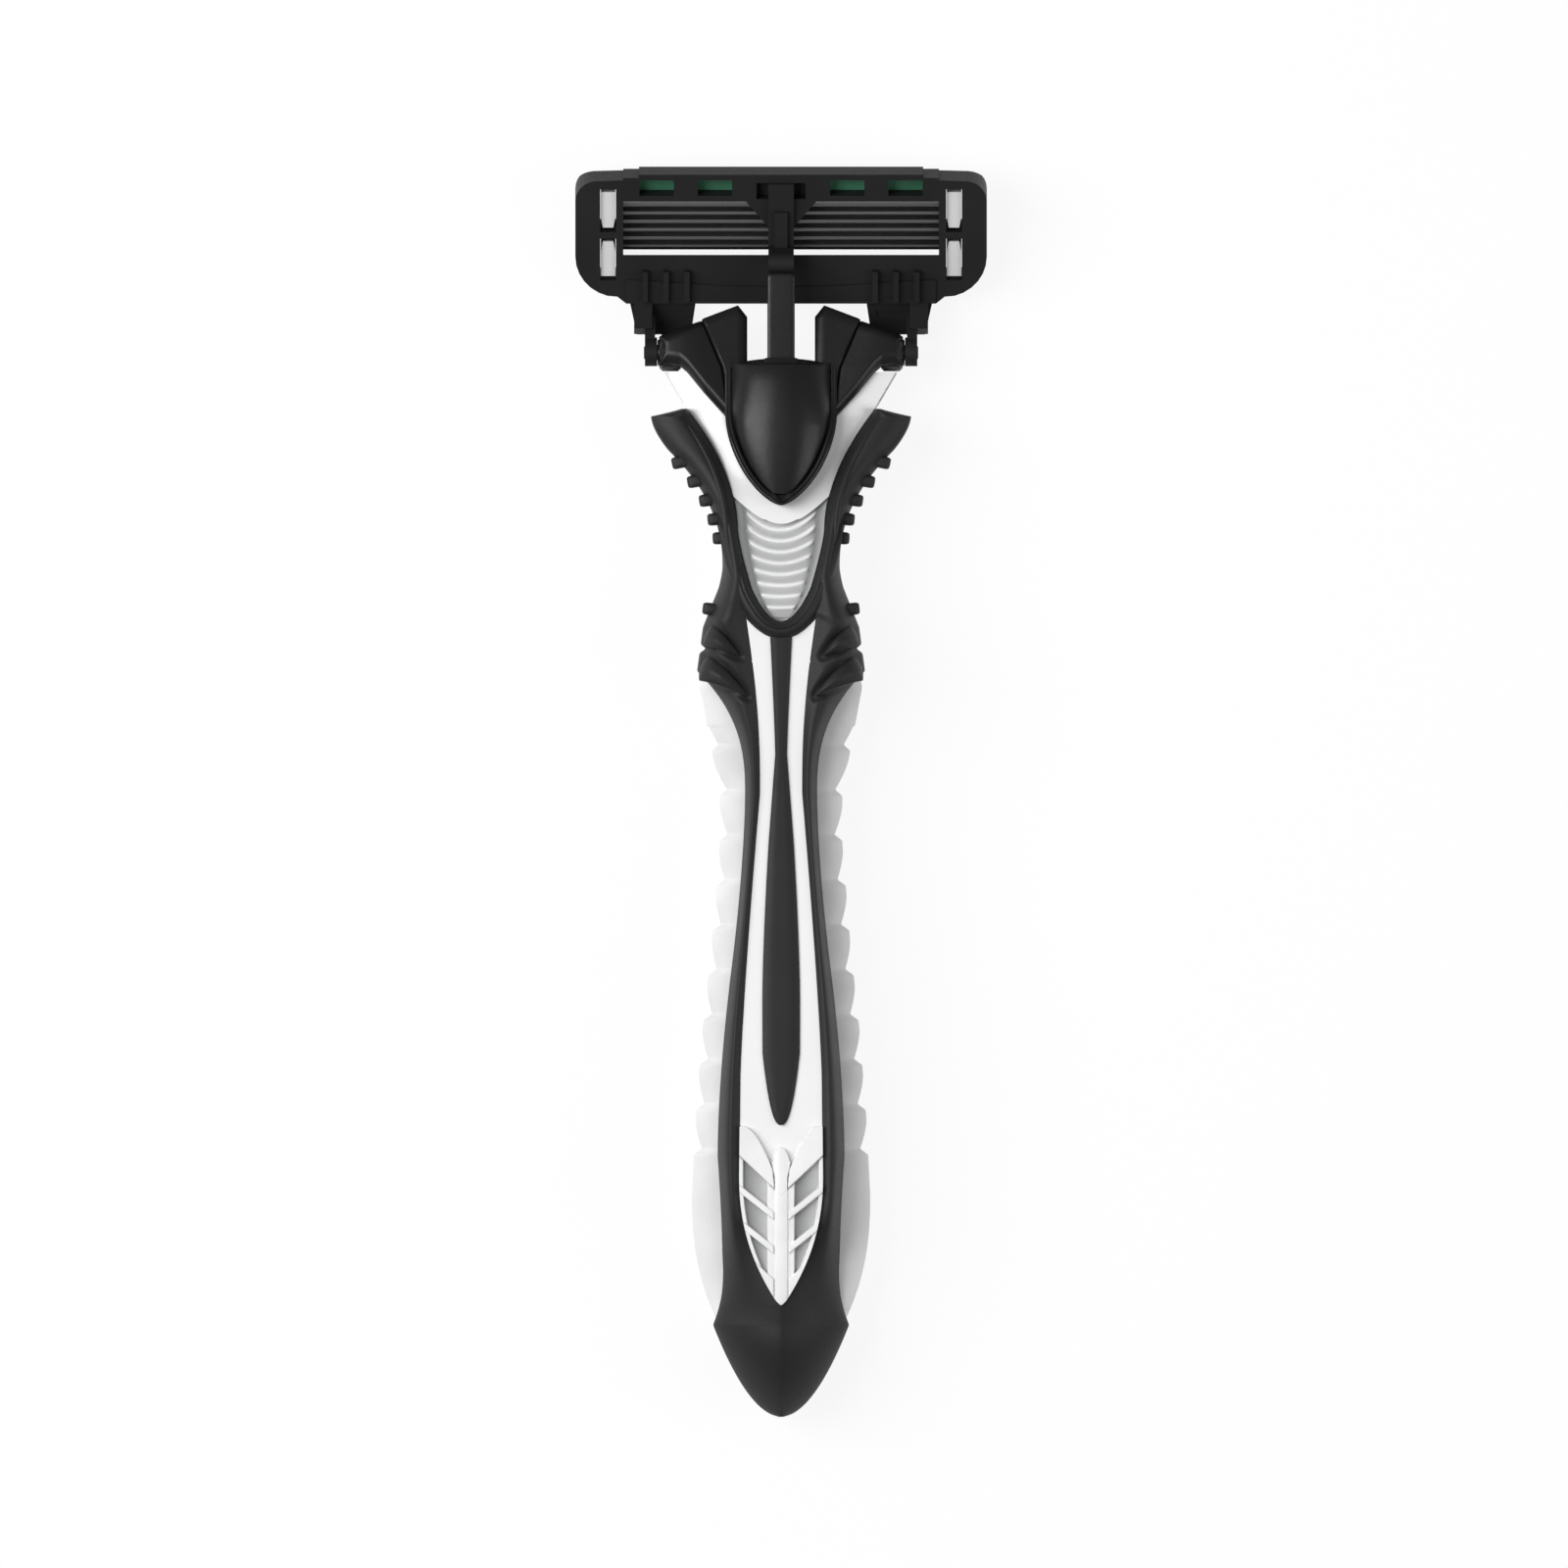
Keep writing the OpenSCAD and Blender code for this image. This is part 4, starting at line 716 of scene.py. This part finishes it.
wing_n = np.where(past_seam, wing_swell, FLOOR)
wing_n = wing_n - 0.3 * np.exp(-(beyond / 0.1) ** 2)
wing_round = np.where(past_seam, 0.75, 0.35)
wing_n = wing_n - wing_round * np.clip(1 - edge / 1.1, 0, 1) ** 2.2
wing_up, wing_low = on_shelf(wing_x, wing_y, wing_n), on_shelf(wing_x, wing_y, SKIN + 0 * wing_y)
mirror = np.array([-1, 1, 1])
hinge = (0, PIVOT_Y, PIVOT_Z)
boss_line = [(10.2, 0.01), (10.2, 1.6), (10.5, 1.9), (12.1, 1.9), (12.4, 1.6), (12.42, 1.35),
             (12.62, 1.3), (12.62, 0.01)]
pin_line = [(11.4, 0.01), (11.4, 0.8), (13.8, 0.8), (14.0, 0.6), (14.0, 0.01)]
knuckles = []
for side in (-1, 1):
    for line in (boss_line, pin_line):
        knuckles.append(lathe([(side * x, r) for x, r in line][::side], hinge, "x"))
post = on_shelf(np.array([[SPRING_X]]), np.array([[POST_Y + 0.38]]), np.array([[1.95]]))[0, 0]
shelf_axes = [(1, 0, 0), (0, SLOPE_COS, -SLOPE_SIN), (0, SLOPE_SIN, SLOPE_COS)]
knuckles.append(superlump(post, shelf_axes, (0.55, 0.4, 0.7), 0.2))
yoke = slab("pivot_frame", [(seat_up, on_shelf(seat_x, seat_rows, SKIN + 0 * seat_x), seat_keep),
                            (wing_up, wing_low, None),
                            ((wing_up * mirror)[:, ::-1], (wing_low * mirror)[:, ::-1], None)], knuckles)
black_plastic = moulded("black_nylon", (0.008, 0.008, 0.0084), 0.35, 2200, 0.00002, 0.08,
                        Specular_IOR_Level=0.3)
yoke.data.materials.append(black_plastic)
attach(yoke, "handle")
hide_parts("pivot_yoke")

# Release button: a thin domed shell of the same nylon that fills the bezel.
# The thumb pushes it two millimetres forward along the slope to throw the cartridge off, and a small
# spring brings it back.
DOME_FRONT, DOME_WALL, PLUNGER_ROOF, PLUNGER_ROOM = 43.41, 0.7, 9.72, 1.7
dome_rows = (BEZEL_TIP + 0.75 + (DOME_FRONT - BEZEL_TIP - 0.75) * np.linspace(0, 1, 100) ** 1.3)[:, None]
dome_u = np.sin(np.linspace(-1, 1, 71) * math.pi / 2)[None, :]
dome_x = dome_u * np.maximum(leaf_edge(dome_rows - BUTTON_GAP, BUTTON_HALF), 0.2)
dome_t = (dome_rows - dome_rows[0]) / (dome_rows[-1] - dome_rows[0])
crest = 0.5 + 2.9 * (1 - (1 - dome_t) ** 2) - 0.4 * dome_t ** 4
crest = crest - 0.25 * np.clip((dome_t - 0.97) / 0.03, 0, 1) ** 2
shoulder_soft = np.clip((dome_t - 0.5) / 0.5, 0, 1)
dome_edge = 0.4 - 0.25 * shoulder_soft
dome_arch = np.clip(1 - np.abs(dome_u) ** (2.4 - 0.4 * shoulder_soft), 0, 1) ** (0.6 + 0.25 * shoulder_soft)
dome_n = FLOOR + dome_edge + (crest - dome_edge) * dome_arch
dome_under = np.maximum(FLOOR + SKIN, dome_n - DOME_WALL)
over_plunger = np.minimum((PLUNGER_ROOF - shelf_z(dome_rows)) / SLOPE_COS, dome_n - 0.3)
dome_under = np.where(np.abs(dome_x) < PLUNGER_ROOM, np.maximum(dome_under, over_plunger), dome_under)
dome_up = on_shelf(dome_x, dome_rows, dome_n)
dome_up[..., 1] -= (dome_n - FLOOR) * SLOPE_SIN * np.clip((dome_t - 0.8) / 0.2, 0, 1) ** 2
button = slab("button_dome", [(dome_up, on_shelf(dome_x, dome_rows, dome_under), None)])
button.data.materials.append(black_plastic)
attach(button, "button")
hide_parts("release_button")

# Plunger: a flat bar of the same black nylon that slides out of the handle under the button.
# Its tip leans on the cartridge's spine, and its spring drives it forward, so the cartridge comes back
# to rest after each stroke.
PLUNGER_Z, BAR_BACK, BAR_FRONT, BAR_NOSE = 8.3, 40.01, 52.45, 0.46
bar_y = np.concatenate([[BAR_BACK], np.linspace(BAR_BACK + 0.01, BAR_FRONT, 30),
                        BAR_FRONT + BAR_NOSE * np.sin(np.linspace(0.1, 1, 8) * math.pi / 2)])[:, None]
bar_turn = np.linspace(0, 2 * math.pi, 65)[None, :-1]
bar_end = np.clip((bar_y - BAR_FRONT) / BAR_NOSE, 0, 1)
bar_shrink = 1 - 0.25 * (1 - np.sqrt(1 - bar_end ** 2))
bar_cos, bar_sin = (np.sign(v) * np.abs(v) ** 0.22 for v in (np.cos(bar_turn), np.sin(bar_turn)))
bar_x, bar_z = 1.4 * bar_cos * bar_shrink, PLUNGER_Z + 0.8 * bar_sin * bar_shrink
bar = tube(grid(bar_x, bar_y + 0 * bar_x, bar_z)[:, ::-1])
stem = lathe([(37.51, 0.01), (37.51, 0.35), (40.3, 0.35), (40.3, 0.01)], (0, 0, PLUNGER_Z), "y")
plunger = piece("plunger_bar", np.concatenate([bar[0], stem[0]]),
                np.concatenate([bar[1], stem[1] + len(bar[0])]))
plunger.data.materials.append(black_plastic)
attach(plunger, "plunger")
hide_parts("plunger")

# Springs: two small coils of drawn steel wire under the button, one behind the plunger and one between
# the button's rib and the yoke's post. They lie loose in their pockets; each is built here at one length
# and rides with the handle, though in use it shortens towards its fixed end when its slide moves.


def coil(name, start, end, radius, wire, turns):
    """A wire swept along a helix from one end of the spring to the other, its end turns laid flat."""
    start, end = np.array(start, float), np.array(end, float)
    way = (end - start) / np.linalg.norm(end - start)
    across = np.array([1.0, 0, 0])
    other = np.cross(way, across)
    s = np.linspace(0, 1, turns * 24)[:, None]
    angle = s * turns * 2 * math.pi
    climb = np.clip((s * turns - 1) / (turns - 2), 0, 1)
    out = across * np.cos(angle) + other * np.sin(angle)
    line = start + wire * way + (end - start - 2 * wire * way) * climb + radius * out
    turn = np.linspace(0, 2 * math.pi, 11)[None, :-1, None]
    rings = line[:, None, :] + wire * (out[:, None, :] * np.cos(turn) + way * np.sin(turn))
    return piece(name, *tube(rings))


spring_steel = moulded("drawn_steel", (0.55, 0.55, 0.56), 0.3, 5000, 0.00001, 0.1, Metallic=1.0)
push_spring = coil("plunger_coil", (0, 33.06, PLUNGER_Z), (0, 39.96, PLUNGER_Z), 0.62, 0.15, 10)
push_spring.data.materials.append(spring_steel)
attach(push_spring, "handle")
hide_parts("plunger_spring")
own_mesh(push_spring)
spring_y = np.array([[at(9.4) + 0.05, POST_Y - 0.05]])
rib_end, post_end = on_shelf(np.array([[SPRING_X, SPRING_X]]), spring_y, np.array([[2.15, 2.15]]))[0]
return_spring = coil("button_coil", rib_end, post_end, 0.36, 0.11, 9)
return_spring.data.materials.append(spring_steel)
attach(return_spring, "handle")
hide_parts("button_spring")
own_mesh(return_spring)

# Cartridge housing: a frame of black glass-filled nylon with a cap, a guard bar and a spine.
# Two hooked brackets on it snap onto the yoke's pins. The construction gives its whole form.
filled_nylon = moulded("filled_nylon", (0.013, 0.013, 0.0135), 0.5, 2200, 0.00002, 0.12,
                       Specular_IOR_Level=0.14)
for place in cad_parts["cartridge_housing"].material_slots:
    place.material = filled_nylon

# Blade clips: two strips of soft aluminium folded round the ends of the cartridge to hold the blades down.
# Only their four legs show, in slots of the side caps.
clip_metal = moulded("clip_aluminium", (0.70, 0.70, 0.71), 0.45, 900, 0.00001, 0.06, Metallic=0.35)
for name in ("clip_left", "clip_right"):
    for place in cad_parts[name].material_slots:
        place.material = clip_metal

# Lubricating strip: a bar of green wax and polymer glued into the cap.
# From the back it shows through four windows.
wax = moulded("green_wax", (0.03, 0.145, 0.078), 0.5, 1500, 0.00003, 0.18,
              Subsurface_Weight=0.1, Subsurface_Scale=0.0006)
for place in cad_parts["lubricating_strip"].material_slots:
    place.material = wax

# Guard strip: a comb of soft rubber fins that stretches the skin before the blades.
# It is moulded onto the skin side of the guard bar.
guard_rubber = moulded("guard_tpe", (0.011, 0.011, 0.012), 0.6, 2600, 0.00003, 0.1, Specular_IOR_Level=0.3)
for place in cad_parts["guard_strip"].material_slots:
    place.material = guard_rubber

# Blades: six bent strips of hardened steel, ground along their length and dark between each other.
# They sit loose in slots of the side caps, and the clips keep them there.
steel = moulded("ground_steel", (0.26, 0.26, 0.265), 0.38, 700, 0.00001, 0.12, Metallic=1.0)
grind = steel.node_tree.nodes.new("ShaderNodeMapping")
grind.inputs["Scale"].default_value = (0.05, 6, 6)
for link in [k for k in steel.node_tree.links if k.from_node.type == "TEX_COORD"]:
    steel.node_tree.links.new(grind.outputs["Vector"], link.to_socket)
steel_place = steel.node_tree.nodes["Texture Coordinate"].outputs["Object"]
steel.node_tree.links.new(steel_place, grind.inputs["Vector"])
for k in range(1, 7):
    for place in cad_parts[f"blade_{k}"].material_slots:
        place.material = steel
